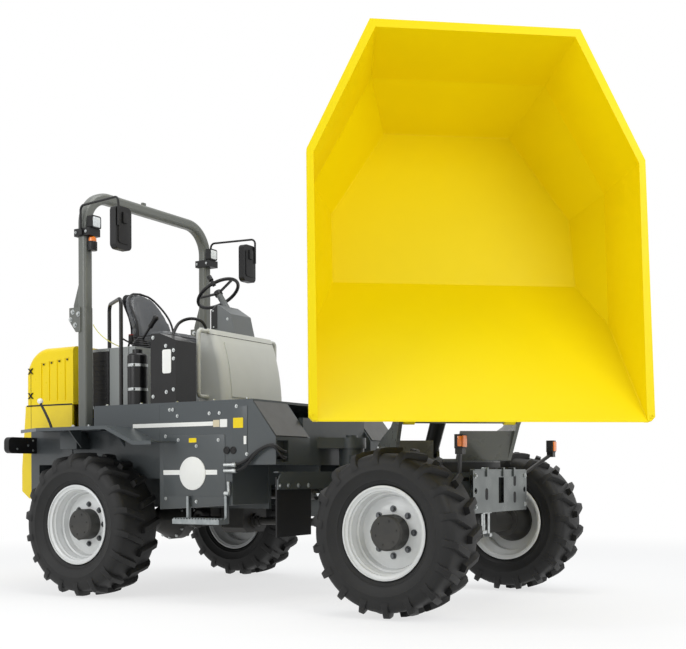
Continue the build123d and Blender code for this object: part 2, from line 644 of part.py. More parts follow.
def step():
    """Left entry step hung from the tank on two arms."""
    rear, ahead = STEP_X
    low, high = STEP_Z
    tread = block(rear, ahead, BODY_Y + 55, BODY_Y + 160, low, high)
    arms = [block(x, x + 20, BODY_Y + SEAT_GAP, BODY_Y + 56, low, high)
            + block(x, x + 20, BODY_Y + SEAT_GAP, BODY_Y + 30, low, high + 160)
            for x in (rear + 20, ahead - 55)]
    return fuse([tread] + arms)


# ---------------------------------------------------------------- roll-over hoop
def rops_posts():
    """Fixed lower posts with base plates and the fold brackets."""
    half = ROPS_TUBE / 2
    pin_x, pin_z = ROPS_PIN
    top = ROPS_SPLIT_Z - SEAT_GAP
    post = block(ROPS_X - half, ROPS_X + half, ROPS_Y - half, ROPS_Y + half, FENDER_Z + 16, top)
    post = fillet(post.edges().filter_by(Axis.Z), 22)
    foot = block(ROPS_X - 110, ROPS_X + 110, ROPS_Y - 65, ROPS_Y + 65, FENDER_Z + SEAT_GAP,
                 FENDER_Z + 20)
    foot_z = ROPS_SPLIT_Z - 195
    side = slab_xz([(ROPS_X, foot_z), (ROPS_X, top), (pin_x - 40, top), (pin_x - 40, foot_z + 90),
                    (pin_x + 30, foot_z)], ROPS_Y + half, ROPS_Y + half + 10)
    other = Pos(0, -2 * half - 10, 0) * side
    pin = pin_y(pin_x, pin_z, ROPS_Y - half - 10, ROPS_Y + half + 10, ROPS_PIN_R)
    return both_sides(fuse([post, foot, side, other, pin]))


def rops_hoop():
    """Folding upper hoop: one bent tube with a hinge lug on each leg."""
    beam_z = ROPS_TOP - ROPS_TUBE / 2
    path = FilletPolyline((ROPS_X, -ROPS_Y, ROPS_SPLIT_Z), (ROPS_X, -ROPS_Y, beam_z),
                          (ROPS_X, ROPS_Y, beam_z), (ROPS_X, ROPS_Y, ROPS_SPLIT_Z), radius=ROPS_BEND)
    section = Plane(origin=path @ 0, z_dir=path % 0) * RectangleRounded(ROPS_TUBE, ROPS_TUBE, 30)
    hoop = sweep(section, path=path)
    pin_x, pin_z = ROPS_PIN
    rear = ROPS_X - ROPS_TUBE / 2
    lug = slab_xz([(rear + 2, ROPS_SPLIT_Z + 2), (rear + 2, ROPS_SPLIT_Z + 190),
                   (rear - 8, ROPS_SPLIT_Z + 190), (pin_x - 29, pin_z + 60), (pin_x - 29, pin_z),
                   (rear - 6, pin_z), (rear - 6, ROPS_SPLIT_Z + 2)],
                  ROPS_Y - 18, ROPS_Y + 18)
    boss = pin_y(pin_x, pin_z, ROPS_Y - 18, ROPS_Y + 18, 29)
    bore = pin_y(pin_x, pin_z, ROPS_Y - 20, ROPS_Y + 20, ROPS_PIN_R + RUN_GAP)
    return fuse([hoop] + both_sides(lug + boss)) - fuse(both_sides(bore))


MIRROR_Z = 2840


def mirror_arm():
    """Left mirror bracket: clamp on the hoop's leg and a thin bent arm."""
    half = ROPS_TUBE / 2 + SEAT_GAP
    clamp = block(ROPS_X - half - 14, ROPS_X + half + 60, ROPS_Y - half - 14, ROPS_Y + half + 14,
                  MIRROR_Z - 35, MIRROR_Z + 25)
    clamp = clamp - block(ROPS_X - half, ROPS_X + half, ROPS_Y - half, ROPS_Y + half,
                          MIRROR_Z - 40, MIRROR_Z + 30)
    y = ROPS_Y + 66
    arm = bent_tube([(ROPS_X + 20, y, MIRROR_Z - 20), (ROPS_X + 20, y, MIRROR_Z + 200),
                     (ROPS_X + 480, y + 60, MIRROR_Z + 200), (ROPS_X + 480, y + 60, MIRROR_Z - 20)], 40, 9)
    foot = block(ROPS_X, ROPS_X + 40, ROPS_Y + half + 8, y + 8, MIRROR_Z - 30, MIRROR_Z + 10)
    return fuse([clamp, arm, foot])


def mirror_head():
    """Left mirror housing on its arm."""
    y = ROPS_Y + 126
    head = block(-30, 30, -85, 85, -165, 165)
    head = fillet(head.edges().filter_by(Axis.X), 40)
    return Pos(ROPS_X + 480 - 39 - SEAT_GAP, y - 66, MIRROR_Z - 30) * head


def work_lamp():
    """Left work lamp on the clamp."""
    half = ROPS_TUBE / 2 + SEAT_GAP
    base = MIRROR_Z + 25 + SEAT_GAP
    lamp = block(ROPS_X + half + 18, ROPS_X + half + 70, ROPS_Y - 60, ROPS_Y + 40, base, base + 100)
    return fillet(lamp.edges().filter_by(Axis.X), 15)


# ---------------------------------------------------------------- front frame
TIE_Y = 420                    # tie-down holes in the nose plate
TIE_Z = 800
TIE_R = 20
KNUCKLE = (FORK_LOW[1] + SEAT_GAP, FORK_HIGH[0] - SEAT_GAP)
FRONT_Y = 380
YOKE_Y = 280
BOX_LOW = 700
BOX_TOP = 925
BOX_BACK = SWIVEL_X - 457
NECK_PLATE_Y = 90
NOSE_X = WHEELBASE + 296
GUARD_X = WHEELBASE - TYRE_R - 241   # front of the arms that carry the guard plates
SLOT_Y = 45                    # half width of the slot in the nose
SLOT_Z = (710, 890)


def steer_lugs(x, root_y):
    """Pair of lugs for a steering cylinder eye, welded to a wall at root_y."""
    y, z = STEER_BASE[1], STEER_BASE[2]
    tip = y + 32 if root_y < y else y - 32
    plates = []
    for low, high in ((z - 42, z - 26), (z + 26, z + 42)):
        plates.append(slab_xy([(x - 50, root_y), (x - 30, tip), (x + 30, tip), (x + 50, root_y)],
                              low, high))
    return fuse(plates)


def front_chassis():
    """Welded front frame: knuckle, box under the turntable and the nose."""
    knuckle = bar((PIVOT_X, 0, KNUCKLE[0]), (PIVOT_X, 0, KNUCKLE[1]), 95)
    neck = slab_xz([(PIVOT_X, KNUCKLE[0] + 10), (BOX_BACK + 30, BOX_LOW), (BOX_BACK + 30, BOX_TOP),
                    (PIVOT_X + 150, BOX_TOP), (PIVOT_X + 80, KNUCKLE[1] - 50),
                    (PIVOT_X, KNUCKLE[1] - 50)], -NECK_PLATE_Y, NECK_PLATE_Y)
    box = block(BOX_BACK, NOSE_X, -FRONT_Y, FRONT_Y, BOX_LOW, BOX_TOP)
    box = box - block(BOX_BACK + 20, NOSE_X - 20, -FRONT_Y + 20, FRONT_Y - 20, BOX_LOW - 1, BOX_TOP - 20)
    yoke = both_sides(block(GUARD_X - 28, BOX_BACK + 10, YOKE_Y - 30, YOKE_Y, BOX_LOW, BOX_TOP))
    arms = both_sides(block(GUARD_X - 28, GUARD_X, YOKE_Y - 10, FRONT_Y, BOX_TOP - 65, BOX_TOP))
    lugs = steer_lugs(STEER_EYE[0], -YOKE_Y)
    bore = bar((PIVOT_X, 0, KNUCKLE[0] - 1), (PIVOT_X, 0, KNUCKLE[1] + 1), PIVOT_PIN_R + RUN_GAP)
    slot = block(NOSE_X - 30, NOSE_X + 1, -SLOT_Y, SLOT_Y, *SLOT_Z)
    return fuse([knuckle, neck, box, lugs] + yoke + arms) - bore - slot


def turntable():
    """Slewing ring between front frame and console."""
    base = BOX_TOP + SEAT_GAP
    ring = bar((SWIVEL_X, 0, base), (SWIVEL_X, 0, RING_TOP), RING_R)
    return ring - bar((SWIVEL_X, 0, base - 1), (SWIVEL_X, 0, RING_TOP + 1), RING_R - 110)


def front_plate():
    """Nose plate with its slot and tie-down holes."""
    back, front = NOSE_X + SEAT_GAP, NOSE_X + 24
    plate = block(back, front, -TIE_Y - 40, TIE_Y + 40, SLOT_Z[0] - 60, SLOT_Z[1] + 50)
    slot = block(back - 1, front + 1, -SLOT_Y, SLOT_Y, *SLOT_Z)
    holes = [bar((back - 1, y, TIE_Z), (front + 1, y, TIE_Z), TIE_R) for y in (-TIE_Y, TIE_Y)]
    return plate - slot - holes[0] - holes[1]


GUARD_Y = 1140
GUARD_T = 12
GUARD_Z = (815, 935)
FLAP_Z = (500, 900)


def mud_guard():
    """Left guard plate behind the front wheel, its outer top corner cut off."""
    low, high = GUARD_Z
    outline = [(YOKE_Y + SEAT_GAP, low), (GUARD_Y, low), (GUARD_Y, high - 55), (GUARD_Y - 45, high),
               (YOKE_Y + SEAT_GAP, high)]
    return slab_yz(outline, GUARD_X + SEAT_GAP, GUARD_X + GUARD_T)


def mud_flap():
    """Left rubber flap hung on the guard plate."""
    return block(GUARD_X - GUARD_T, GUARD_X, GUARD_Y - 400, GUARD_Y, *FLAP_Z)


def indicator():
    """Left direction indicator on its arm, over the front tyre's shoulder."""
    root_x, end_x = NOSE_X - 60, NOSE_X + 90
    end_y, end_z = FRONT_Y + 410, 2 * TYRE_R - 30
    root_z = BOX_TOP - 45
    arm = bent_tube([(root_x, FRONT_Y + SEAT_GAP, root_z), (root_x, FRONT_Y + 120, root_z),
                     (end_x, end_y, end_z)], 60, 14)
    foot = block(end_x - 25, end_x + 25, end_y - 25, end_y + 25, end_z - 20, end_z + 16)
    lamp = block(end_x - 30, end_x + 30, end_y - 35, end_y + 35, end_z + 16 + SEAT_GAP, end_z + 106)
    return arm + foot, fillet(lamp.edges().filter_by(Axis.Z), 14)


# ---------------------------------------------------------------- swivel console
CHEEK_Y = (380, 404)


def console():
    """Turning console: round foot, two cheeks up to the hinge pins, half a front panel."""
    foot_z = RING_TOP + SEAT_GAP
    foot = bar((0, 0, foot_z), (0, 0, foot_z + 22), RING_R)
    top = foot_z + 10
    outline = [(-430, top), (-460, 1130), (-200, 1180), (330, 1240), (HINGE_X - 20, HINGE_Z + 55),
               (HINGE_X + 50, HINGE_Z + 20), (HINGE_X + 45, HINGE_Z - 40), (480, top)]
    cheeks = both_sides(slab_xz(outline, *CHEEK_Y))
    sill = block(330, 480, -CHEEK_Y[0], CHEEK_Y[0], top, foot_z + 22)
    pins = both_sides(pin_y(HINGE_X, HINGE_Z, 296, CHEEK_Y[1] + 12, HINGE_PIN_R))
    panel = slab_xz([(470, top), (482, top), (640, 1200), (628, 1200)], 20, CHEEK_Y[0] + 2)
    base_x, base_z = TIP_BASE
    lugs = both_sides(slab_xz([(base_x - 50, top), (base_x - 45, base_z + 45), (base_x + 45, base_z + 45),
                               (base_x + 80, top)], 41, 61))
    base_pin = pin_y(base_x, base_z, -61, 61, 25)
    return fuse([foot, sill, panel, base_pin] + cheeks + pins + lugs)


# ---------------------------------------------------------------- skip
# inner corners of one half at three levels: rim, crease, floor; each row is front, side, rear
# columns: back from the lip, half width; depth follows from the level
SKIP_LEVELS = [
    ("rim", [(0, 975), (1575, 985), (2355, 612)]),
    ("crease", [(CREASE_DEPTH * 1030 / FLOOR_DEPTH, 955), (1590, 955), (2310, 575)]),
    ("floor", [(1030, 820), (1520, 818), (2140, 438)]),
]


def skip_point(back, y, depth):
    """Point in the skip's own frame: origin at the hinge, x forward along the rim plane."""
    return (HINGE_BACK - back, y, HINGE_DEPTH - depth)


def skip_depth(level, back):
    """Depth of a level below the rim plane."""
    if level == "rim":
        return 0
    if level == "crease":
        return CREASE_DEPTH
    return FLOOR_DEPTH + FLOOR_SLOPE * (back - SKIP_LEVELS[2][1][0][0])


def skip_wire(level, corners, grow, lift):
    """Closed outline of one level, pushed outwards by grow and raised by lift at the rim."""
    front, side, rear = corners
    shift = [(-grow, grow), (grow * 0.3, grow), (grow, grow * 0.5)]
    half = [(b + db, y + dy) for (b, y), (db, dy) in zip((front, side, rear), shift)]
    around = [(b, y) for b, y in half] + [(b, -y) for b, y in reversed(half)]
    down = grow if level == "floor" else 0
    up = lift if level == "rim" else 0
    return Polyline(*[skip_point(b, y, skip_depth(level, b) + down - up) for b, y in around], close=True)


def skip_body(grow, lift):
    """Solid between the three levels."""
    wires = [make_face(skip_wire(level, corners, grow, lift)) for level, corners in SKIP_LEVELS]
    return loft(wires, ruled=True)


def skip_shell():
    """Welded skip: sheet panels and a folded rim."""
    shell = skip_body(SKIP_WALL, 0) - skip_body(0, 2)
    corners = SKIP_LEVELS[0][1]
    inner = [(-1, corners[0][1]), corners[1], corners[2]]
    outer = [(-1, corners[0][1] + RIM_BAND - EAR_CUT), (EAR_CUT, corners[0][1] + RIM_BAND),
             (corners[1][0] + 20, corners[1][1] + RIM_BAND - 10),
             (corners[2][0] + RIM_BAND, corners[2][1] + 32)]
    ring = [(b, y) for b, y in outer] + [(b, -y) for b, y in reversed(outer)]
    hole = [(b, y) for b, y in inner] + [(b, -y) for b, y in reversed(inner)]
    hole[0] = (-60, inner[0][1])
    hole[-1] = (-60, -inner[0][1])
    face = make_face(Polyline(*[skip_point(b, y, 0) for b, y in ring], close=True))
    cut = make_face(Polyline(*[skip_point(b, y, -1) for b, y in hole], close=True))
    down = (0, 0, -1)
    band = extrude(face, amount=RIM_FOLD, dir=down) - extrude(cut, amount=RIM_FOLD + 2, dir=down)
    lip = block(HINGE_BACK - 20, HINGE_BACK, -corners[0][1], corners[0][1],
                HINGE_DEPTH - 28, HINGE_DEPTH)
    return shell + band + (lip - skip_body(0, 2))


def skip_underside(back, level):
    """Outer face of the skip's middle below the rim, a seat gap clear, as (x, z)."""
    x, _, z = skip_point(back, 0, skip_depth(level, back) + (SKIP_WALL if level == "floor" else 0))
    return (x, z - SEAT_GAP * 2)


def skip_frame():
    """Hinge frame under the skip: two shaped side plates, cross tubes and the cylinder's lugs."""
    crease = skip_underside(SKIP_LEVELS[1][1][0][0] - SKIP_WALL, "crease")
    toe = skip_underside(SKIP_LEVELS[2][1][0][0] - SKIP_WALL, "floor")
    heel = skip_underside(SKIP_LEVELS[2][1][0][0] + 615, "floor")
    slope = FLOOR_DEPTH / SKIP_LEVELS[2][1][0][0]
    brow = (crease[0] + 215, crease[1] + 215 * slope)
    outline = [(55, -20), (30, -55), (-300, -75), (-800, -130), (heel[0], heel[1] - 48), heel, toe,
               crease, brow, (45, 60)]
    plates = both_sides(slab_xz(outline, 302, 327))
    bosses = both_sides(pin_y(0, 0, 298, 372, 58))
    bores = both_sides(pin_y(0, 0, 290, 380, HINGE_PIN_R + RUN_GAP))
    eye_x, eye_z = TIP_EYE
    beam = block(eye_x - 130, eye_x - 70, -302, 302, eye_z + 20, eye_z + 100)
    rear_beam = block(-1400, -1340, -302, 302, -175, -135)
    lugs = both_sides(slab_xz([(eye_x - 100, eye_z + 30), (eye_x - 100, eye_z + 95),
                               (eye_x + 45, eye_z + 60), (eye_x + 45, eye_z - 40),
                               (eye_x - 40, eye_z - 45)], 33, 53))
    return fuse(plates + bosses + [beam, rear_beam] + lugs) - fuse(bores)


# ---------------------------------------------------------------- cylinders
def cylinder_barrel(length, radius, rod_r, eye_r, eye_w, pin_r):
    """Barrel along local x from its base eye at the origin."""
    eye = pin_y(0, 0, -eye_w / 2, eye_w / 2, eye_r)
    neck = block(0, eye_r + 20, -eye_w / 2 + 2, eye_w / 2 - 2, -eye_r * 0.6, eye_r * 0.6)
    tube = bar((eye_r + 10, 0, 0), (length, 0, 0), radius)
    gland = bar((length - 50, 0, 0), (length, 0, 0), radius + 5)
    bore = bar((eye_r + 20, 0, 0), (length + 1, 0, 0), rod_r + RUN_GAP)
    return fuse([eye, neck, tube, gland]) - bore - pin_y(0, 0, -eye_w, eye_w, pin_r + RUN_GAP)


def cylinder_rod(length, rod_r, eye_r, eye_w):
    """Rod along local x; its eye is at the origin and the rod runs back from it."""
    eye = pin_y(0, 0, -eye_w / 2, eye_w / 2, eye_r)
    return eye + bar((-length, 0, 0), (-eye_r * 0.5, 0, 0), rod_r)


def skip_to_swivel(x, z, slope):
    """A point of the skip's own x-z frame in the console's frame at a rim slope in degrees."""
    a = radians(slope)
    return (HINGE_X + x * cos(a) + z * sin(a), HINGE_Z - x * sin(a) + z * cos(a))


RIM_SLOPE_REST = RIM_SLOPE_TRAVEL + TIP_ANGLE


def tip_line(slope):
    """Length and angle (degrees above level) of the tip cylinder at a rim slope."""
    x, z = skip_to_swivel(*TIP_EYE, slope)
    dx, dz = x - TIP_BASE[0], z - TIP_BASE[1]
    return hypot(dx, dz), degrees(atan2(dz, dx))


def steer_line(angle):
    """Length and angle of the steering cylinder with the front frame turned left by angle."""
    a = radians(angle)
    dx, dy = STEER_EYE[0] - PIVOT_X, STEER_EYE[1]
    x = PIVOT_X + dx * cos(a) - dy * sin(a)
    y = dx * sin(a) + dy * cos(a)
    run, rise = x - STEER_BASE[0], y - STEER_BASE[1]
    return hypot(run, rise), degrees(atan2(rise, run))


# ---------------------------------------------------------------- assembly
SWIVEL_PLACE = Pos(SWIVEL_X, 0, 0) * Rot(0, 0, SWIVEL_REST)
SKIP_PLACE = SWIVEL_PLACE * Pos(HINGE_X, 0, HINGE_Z) * Rot(0, RIM_SLOPE_REST, 0)
TIP_LENGTH, TIP_RISE = tip_line(RIM_SLOPE_REST)
TIP_BARREL_PLACE = SWIVEL_PLACE * Pos(TIP_BASE[0], 0, TIP_BASE[1]) * Rot(0, -TIP_RISE, 0)
TIP_ROD_PLACE = TIP_BARREL_PLACE * Pos(TIP_LENGTH, 0, 0)
STEER_LENGTH, STEER_YAW = steer_line(0)
LIE_FLAT = Rot(90, 0, 0)
STEER_BARREL_PLACE = Pos(*STEER_BASE) * Rot(0, 0, STEER_YAW) * LIE_FLAT
STEER_ROD_PLACE = Pos(*STEER_BASE) * Rot(0, 0, STEER_YAW) * Pos(STEER_LENGTH, 0, 0) * LIE_FLAT


def assemble():
    """Every node, placed in the machine frame, by body."""
    names = ["rear_frame", "hood", "rops", "steering_wheel", "front_frame", "swivel", "skip",
             "tip_barrel", "tip_rod", "steer_barrel", "steer_rod"]
    bodies = {name: {} for name in names}
    rear = bodies["rear_frame"]
    rear["rear_chassis"] = rear_chassis()
    rear["pivot_fork"] = pivot_fork()
    rear["rear_deck"] = rear_deck()
    rear["side_tank_left"], rear["side_tank_right"] = both_sides(tank())
    rear["rear_axle"] = axle(0, [(RAIL_Y - 15, RAIL_LOW - SEAT_GAP)], 1)
    rear["drive_line"] = drive_line()
    rear["rear_fenders"] = both_sides(fender())
    rear["engine"] = engine()
    rear["engine_mounts"] = engine_mounts()
    rear["tail_weight"] = counterweight()
    rear["tow_hitch"] = tow_hitch()
    rear["tail_lamps"] = both_sides(tail_lamp())
    rear["seat_box"] = seat_box()
    rear["seat_base"] = seat_base()
    rear["seat_cushion"] = seat_cushion()
    rear["seat_back"] = seat_back()
    rear["cowl"] = cowl()
    rear["dash_pod"] = dash_pod()
    rear["control_box"] = control_box()
    rear["control_lever"] = control_lever()
    rear["canister"] = canister()
    rear["grab_rail"] = grab_rail()
    rear["cowl_loops"] = both_sides(cowl_loop())
    rear["steps"] = both_sides(step())
    rear["rops_posts"] = rops_posts()
    bodies["hood"]["hood"] = hood()
    hoop = bodies["rops"]
    hoop["rops_hoop"] = rops_hoop()
    hoop["mirror_arms"] = both_sides(mirror_arm())
    hoop["mirrors"] = both_sides(mirror_head())
    hoop["work_lamps"] = both_sides(work_lamp())
    tilt = Pos(*WHEEL_CENTRE) * Rot(0, -WHEEL_TILT, 0)
    bodies["steering_wheel"]["steering_wheel"] = tilt * steering_wheel()
    front = bodies["front_frame"]
    front["front_chassis"] = front_chassis()
    front["front_axle"] = axle(WHEELBASE, [(FRONT_Y - 20, BOX_LOW - SEAT_GAP)], -1)
    front["front_shaft"] = shaft(PIVOT_X + SHAFT_END, WHEELBASE - DIFF_NOSE - SEAT_GAP)
    front["turntable"] = turntable()
    front["front_plate"] = front_plate()
    front["mud_guards"] = both_sides(mud_guard())
    front["mud_flaps"] = both_sides(mud_flap())
    arm, lamp = indicator()
    front["indicator_arms"] = both_sides(arm)
    front["indicator_lamps"] = both_sides(lamp)
    bodies["swivel"]["swivel_console"] = SWIVEL_PLACE * console()
    bodies["skip"]["skip_shell"] = SKIP_PLACE * skip_shell()
    bodies["skip"]["skip_frame"] = SKIP_PLACE * skip_frame()
    barrel = cylinder_barrel(TIP_BARREL_L, TIP_BARREL_R, TIP_ROD_R, 52, 80, 25)
    bodies["tip_barrel"]["tip_barrel"] = TIP_BARREL_PLACE * barrel
    bodies["tip_rod"]["tip_rod"] = TIP_ROD_PLACE * cylinder_rod(TIP_ROD_L, TIP_ROD_R, 48, 65.4)
    barrel = cylinder_barrel(STEER_BARREL_L, STEER_BARREL_R, STEER_ROD_R, 36, 51.4, 15)
    bodies["steer_barrel"]["steer_barrel"] = STEER_BARREL_PLACE * barrel
    bodies["steer_rod"]["steer_rod"] = STEER_ROD_PLACE * cylinder_rod(STEER_ROD_L, STEER_ROD_R, 34, 51.4)
    casing = tyre()
    for name, x, side in WHEELS:
        place = wheel_place(x, side)
        cover = casing if side > 0 else Rot(0, 0, 180) * mirror(casing, about=Plane.XZ)
        bodies["wheel_" + name] = {"tyre_" + name: place * cover, "rim_" + name: place * rim(),
                                   "hub_" + name: place * hub()}
    return bodies


def whole(piece):
    """A node as one shape, whether it is one solid or several."""
    return Compound(list(piece)) if isinstance(piece, (list, tuple)) else piece


BODIES = {body: {node: whole(piece) for node, piece in nodes.items()}
          for body, nodes in assemble().items()}
BOX = Compound([piece for nodes in BODIES.values() for piece in nodes.values()]).bounding_box()
ORIGIN = Vector((BOX.min.X + BOX.max.X) / 2, (BOX.min.Y + BOX.max.Y) / 2, BOX.min.Z)

os.makedirs("parts", exist_ok=True)
for nodes in BODIES.values():
    for node, piece in nodes.items():
        export_step(Pos(-ORIGIN.X, -ORIGIN.Y, -ORIGIN.Z) * piece, f"parts/{node}.step")
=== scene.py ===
"""Looks of the articulated site dumper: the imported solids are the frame, dressed piece by piece."""
import math

import bmesh
import bpy
from mathutils import Matrix, Vector


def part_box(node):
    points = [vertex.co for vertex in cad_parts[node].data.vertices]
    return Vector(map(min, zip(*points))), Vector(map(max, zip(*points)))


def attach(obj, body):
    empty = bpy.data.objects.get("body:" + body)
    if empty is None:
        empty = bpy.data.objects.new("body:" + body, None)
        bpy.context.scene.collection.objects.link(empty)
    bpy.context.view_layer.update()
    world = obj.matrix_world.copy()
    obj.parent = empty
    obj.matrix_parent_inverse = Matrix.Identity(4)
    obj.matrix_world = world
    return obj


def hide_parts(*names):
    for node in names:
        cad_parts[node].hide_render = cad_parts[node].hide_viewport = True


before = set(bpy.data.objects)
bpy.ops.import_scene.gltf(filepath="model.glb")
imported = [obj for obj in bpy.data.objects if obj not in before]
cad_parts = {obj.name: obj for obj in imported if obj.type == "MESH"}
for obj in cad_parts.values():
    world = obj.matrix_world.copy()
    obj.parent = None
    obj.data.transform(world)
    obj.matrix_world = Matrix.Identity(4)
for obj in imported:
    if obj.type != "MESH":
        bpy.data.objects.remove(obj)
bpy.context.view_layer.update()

# ---------------------------------------------------------------- standpoint
# The camera looks level at the machine's right front corner from a person's chest height.
# Places are metres forward of the rear axle, to the machine's left and up from the ground.
rear_left, rear_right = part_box("tyre_rear_left"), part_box("tyre_rear_right")
AXLE_X = (rear_left[0].x + rear_left[1].x) / 2
AXLE_Y = (rear_left[1].y + rear_right[0].y) / 2
AXLE_Z = (rear_left[0].z + rear_left[1].z) / 2
CAMERA_PLACE = (5.966, -6.780, 0.916)
CAMERA_TURN = (90.0, 0.23, 29.624)      # degrees


def at(x, y, z):
    """A place on the machine as a point of the model's frame."""
    return Vector((x + AXLE_X, y + AXLE_Y, z))


camera_data = bpy.data.cameras.new("camera")
camera_data.sensor_width = 36
camera_data.lens = 55.13
camera_data.shift_x = -0.0729
camera_data.shift_y = 0.2177
camera_data.clip_end = 100
camera = bpy.data.objects.new("camera", camera_data)
camera.location = at(*CAMERA_PLACE)
camera.rotation_euler = [math.radians(turn) for turn in CAMERA_TURN]
bpy.context.scene.collection.objects.link(camera)
bpy.context.scene.camera = camera

# ---------------------------------------------------------------- studio
# A white floor that keeps soft shadows under the wheels, a white surround and three large
# soft lamps overhead, ahead and to the right, as a catalogue studio has.
FLOOR_HALF = 30.0
FLOOR_NEAR = 4.5              # metres from the machine's middle where the floor starts to fade to white
FLOOR_FAR = 9.0


def linear(channel):
    """One sRGB channel as linear light."""
    return channel / 12.92 if channel <= 0.04045 else ((channel + 0.055) / 1.055) ** 2.4


def colour(code):
    """A colour written as an sRGB hex code, for a shader."""
    return tuple(linear(int(code[i:i + 2], 16) / 255) for i in (1, 3, 5)) + (1.0,)


def add(tree, kind, settings=None, links=None):
    """One node with its settings and links; a key that isn't a property is an input."""
    made = tree.nodes.new(kind)
    for key, value in (settings or {}).items():
        if isinstance(key, str) and hasattr(made, key):
            setattr(made, key, value)
        else:
            made.inputs[key].default_value = value
    for key, source in (links or {}).items():
        tree.links.new(source, made.inputs[key])
    return made


def new_material(name):
    """An empty material and its node tree."""
    material = bpy.data.materials.new(name)
    material.use_nodes = True
    material.node_tree.nodes.clear()
    return material, material.node_tree


floor_paint, tree = new_material("studio_floor")
place = add(tree, "ShaderNodeTexCoord")
away = add(tree, "ShaderNodeVectorMath", {"operation": "LENGTH"}, {0: place.outputs["Object"]})
fade = add(tree, "ShaderNodeMapRange",
           {"interpolation_type": "SMOOTHSTEP", "From Min": FLOOR_NEAR, "From Max": FLOOR_FAR,
            "To Min": 0.70, "To Max": 1.0}, {"Value": away.outputs["Value"]})
seen = add(tree, "ShaderNodeLightPath")
direct = add(tree, "ShaderNodeMath", {"operation": "MAXIMUM"},
             {0: seen.outputs["Is Camera Ray"], 1: seen.outputs["Is Glossy Ray"]})
share = add(tree, "ShaderNodeMath", {"operation": "MULTIPLY"},
            {0: fade.outputs["Result"], 1: direct.outputs[0]})
matt = add(tree, "ShaderNodeBsdfDiffuse", {"Color": colour("#F4F4F4")})
white = add(tree, "ShaderNodeEmission", {"Color": (1, 1, 1, 1), "Strength": 1.0})
mixed = add(tree, "ShaderNodeMixShader", {},
            {0: share.outputs[0], 1: matt.outputs[0], 2: white.outputs[0]})
add(tree, "ShaderNodeOutputMaterial", {}, {"Surface": mixed.outputs[0]})

floor_mesh = bpy.data.meshes.new("studio_floor")
floor_mesh.from_pydata([(-FLOOR_HALF, -FLOOR_HALF, 0), (FLOOR_HALF, -FLOOR_HALF, 0),
                        (FLOOR_HALF, FLOOR_HALF, 0), (-FLOOR_HALF, FLOOR_HALF, 0)], [], [(0, 1, 2, 3)])
floor = bpy.data.objects.new("studio_floor", floor_mesh)
floor_mesh.materials.append(floor_paint)
bpy.context.scene.collection.objects.link(floor)

world = bpy.data.worlds.new("studio")
bpy.context.scene.world = world
world.use_nodes = True
tree = world.node_tree
tree.nodes.clear()
seen = add(tree, "ShaderNodeLightPath")
direct = add(tree, "ShaderNodeMath", {"operation": "MAXIMUM"},
             {0: seen.outputs["Is Camera Ray"], 1: seen.outputs["Is Transmission Ray"]})
shown = add(tree, "ShaderNodeMath", {"operation": "MAXIMUM"},
            {0: direct.outputs[0], 1: seen.outputs["Is Glossy Ray"]})
surround = add(tree, "ShaderNodeBackground", {"Color": colour("#EEF2F6"), "Strength": 0.66})
backdrop = add(tree, "ShaderNodeBackground", {"Color": (1, 1, 1, 1), "Strength": 1.0})
mixed = add(tree, "ShaderNodeMixShader", {},
            {0: shown.outputs[0], 1: surround.outputs[0], 2: backdrop.outputs[0]})
add(tree, "ShaderNodeOutputWorld", {}, {"Surface": mixed.outputs[0]})


def soft_lamp(name, place, aim, size, power):
    """A square softbox at one place, turned to another."""
    data = bpy.data.lights.new(name, "AREA")
    data.shape = "SQUARE"
    data.size = size
    data.energy = power
    lamp = bpy.data.objects.new(name, data)
    lamp.location = at(*place)
    lamp.rotation_euler = (Vector(place) - Vector(aim)).to_track_quat("Z", "Y").to_euler()
    bpy.context.scene.collection.objects.link(lamp)


soft_lamp("top_lamp", (2.0, -0.5, 7.5), (1.3, 0.0, 1.0), 5.0, 255)
soft_lamp("front_lamp", (8.0, -3.0, 4.5), (2.0, -0.3, 1.4), 3.5, 150)
soft_lamp("side_lamp", (-1.5, -7.5, 4.0), (0.8, 0.0, 1.2), 3.5, 170)

bpy.context.scene.view_settings.view_transform = "Standard"

# ---------------------------------------------------------------- wheels
# Radial dumper tyres of natural rubber with chevron lugs, on pressed-steel disc wheels sprayed
# silver-white, each held by eight studs to a cast planetary hub.
MACHINE = Matrix.Translation(at(0, 0, 0))
LUGS = 18                     # on each half of the tread
LUG_WIDTH = (0.064, 0.046)    # at the root and at the top
LUG_LEAN = 0.080              # how far a lug's middle end leads its shoulder end
TYRE_R = 0.545
# columns: distance from the middle, radius at the lug's top, radius at its root
LUG_LINE = [(0.003, 0.5425, 0.490), (0.060, 0.5420, 0.490), (0.120, 0.5390, 0.488),
            (0.165, 0.5330, 0.480), (0.188, 0.5080, 0.465), (0.2020, 0.4700, 0.440),
            (0.2030, 0.4480, 0.430)]
# columns: radius, distance from the middle; the outboard half of the casing from bead to crown
CASING = [(0.286, 0.128), (0.300, 0.146), (0.306, 0.155), (0.318, 0.163), (0.330, 0.170),
          (0.333, 0.175), (0.338, 0.1755), (0.342, 0.176), (0.365, 0.189), (0.392, 0.1985),
          (0.395, 0.2015), (0.401, 0.202), (0.405, 0.2005), (0.430, 0.2005), (0.455, 0.197),
          (0.478, 0.188), (0.494, 0.173), (0.502, 0.150), (0.504, 0.080), (0.505, 0.0)]
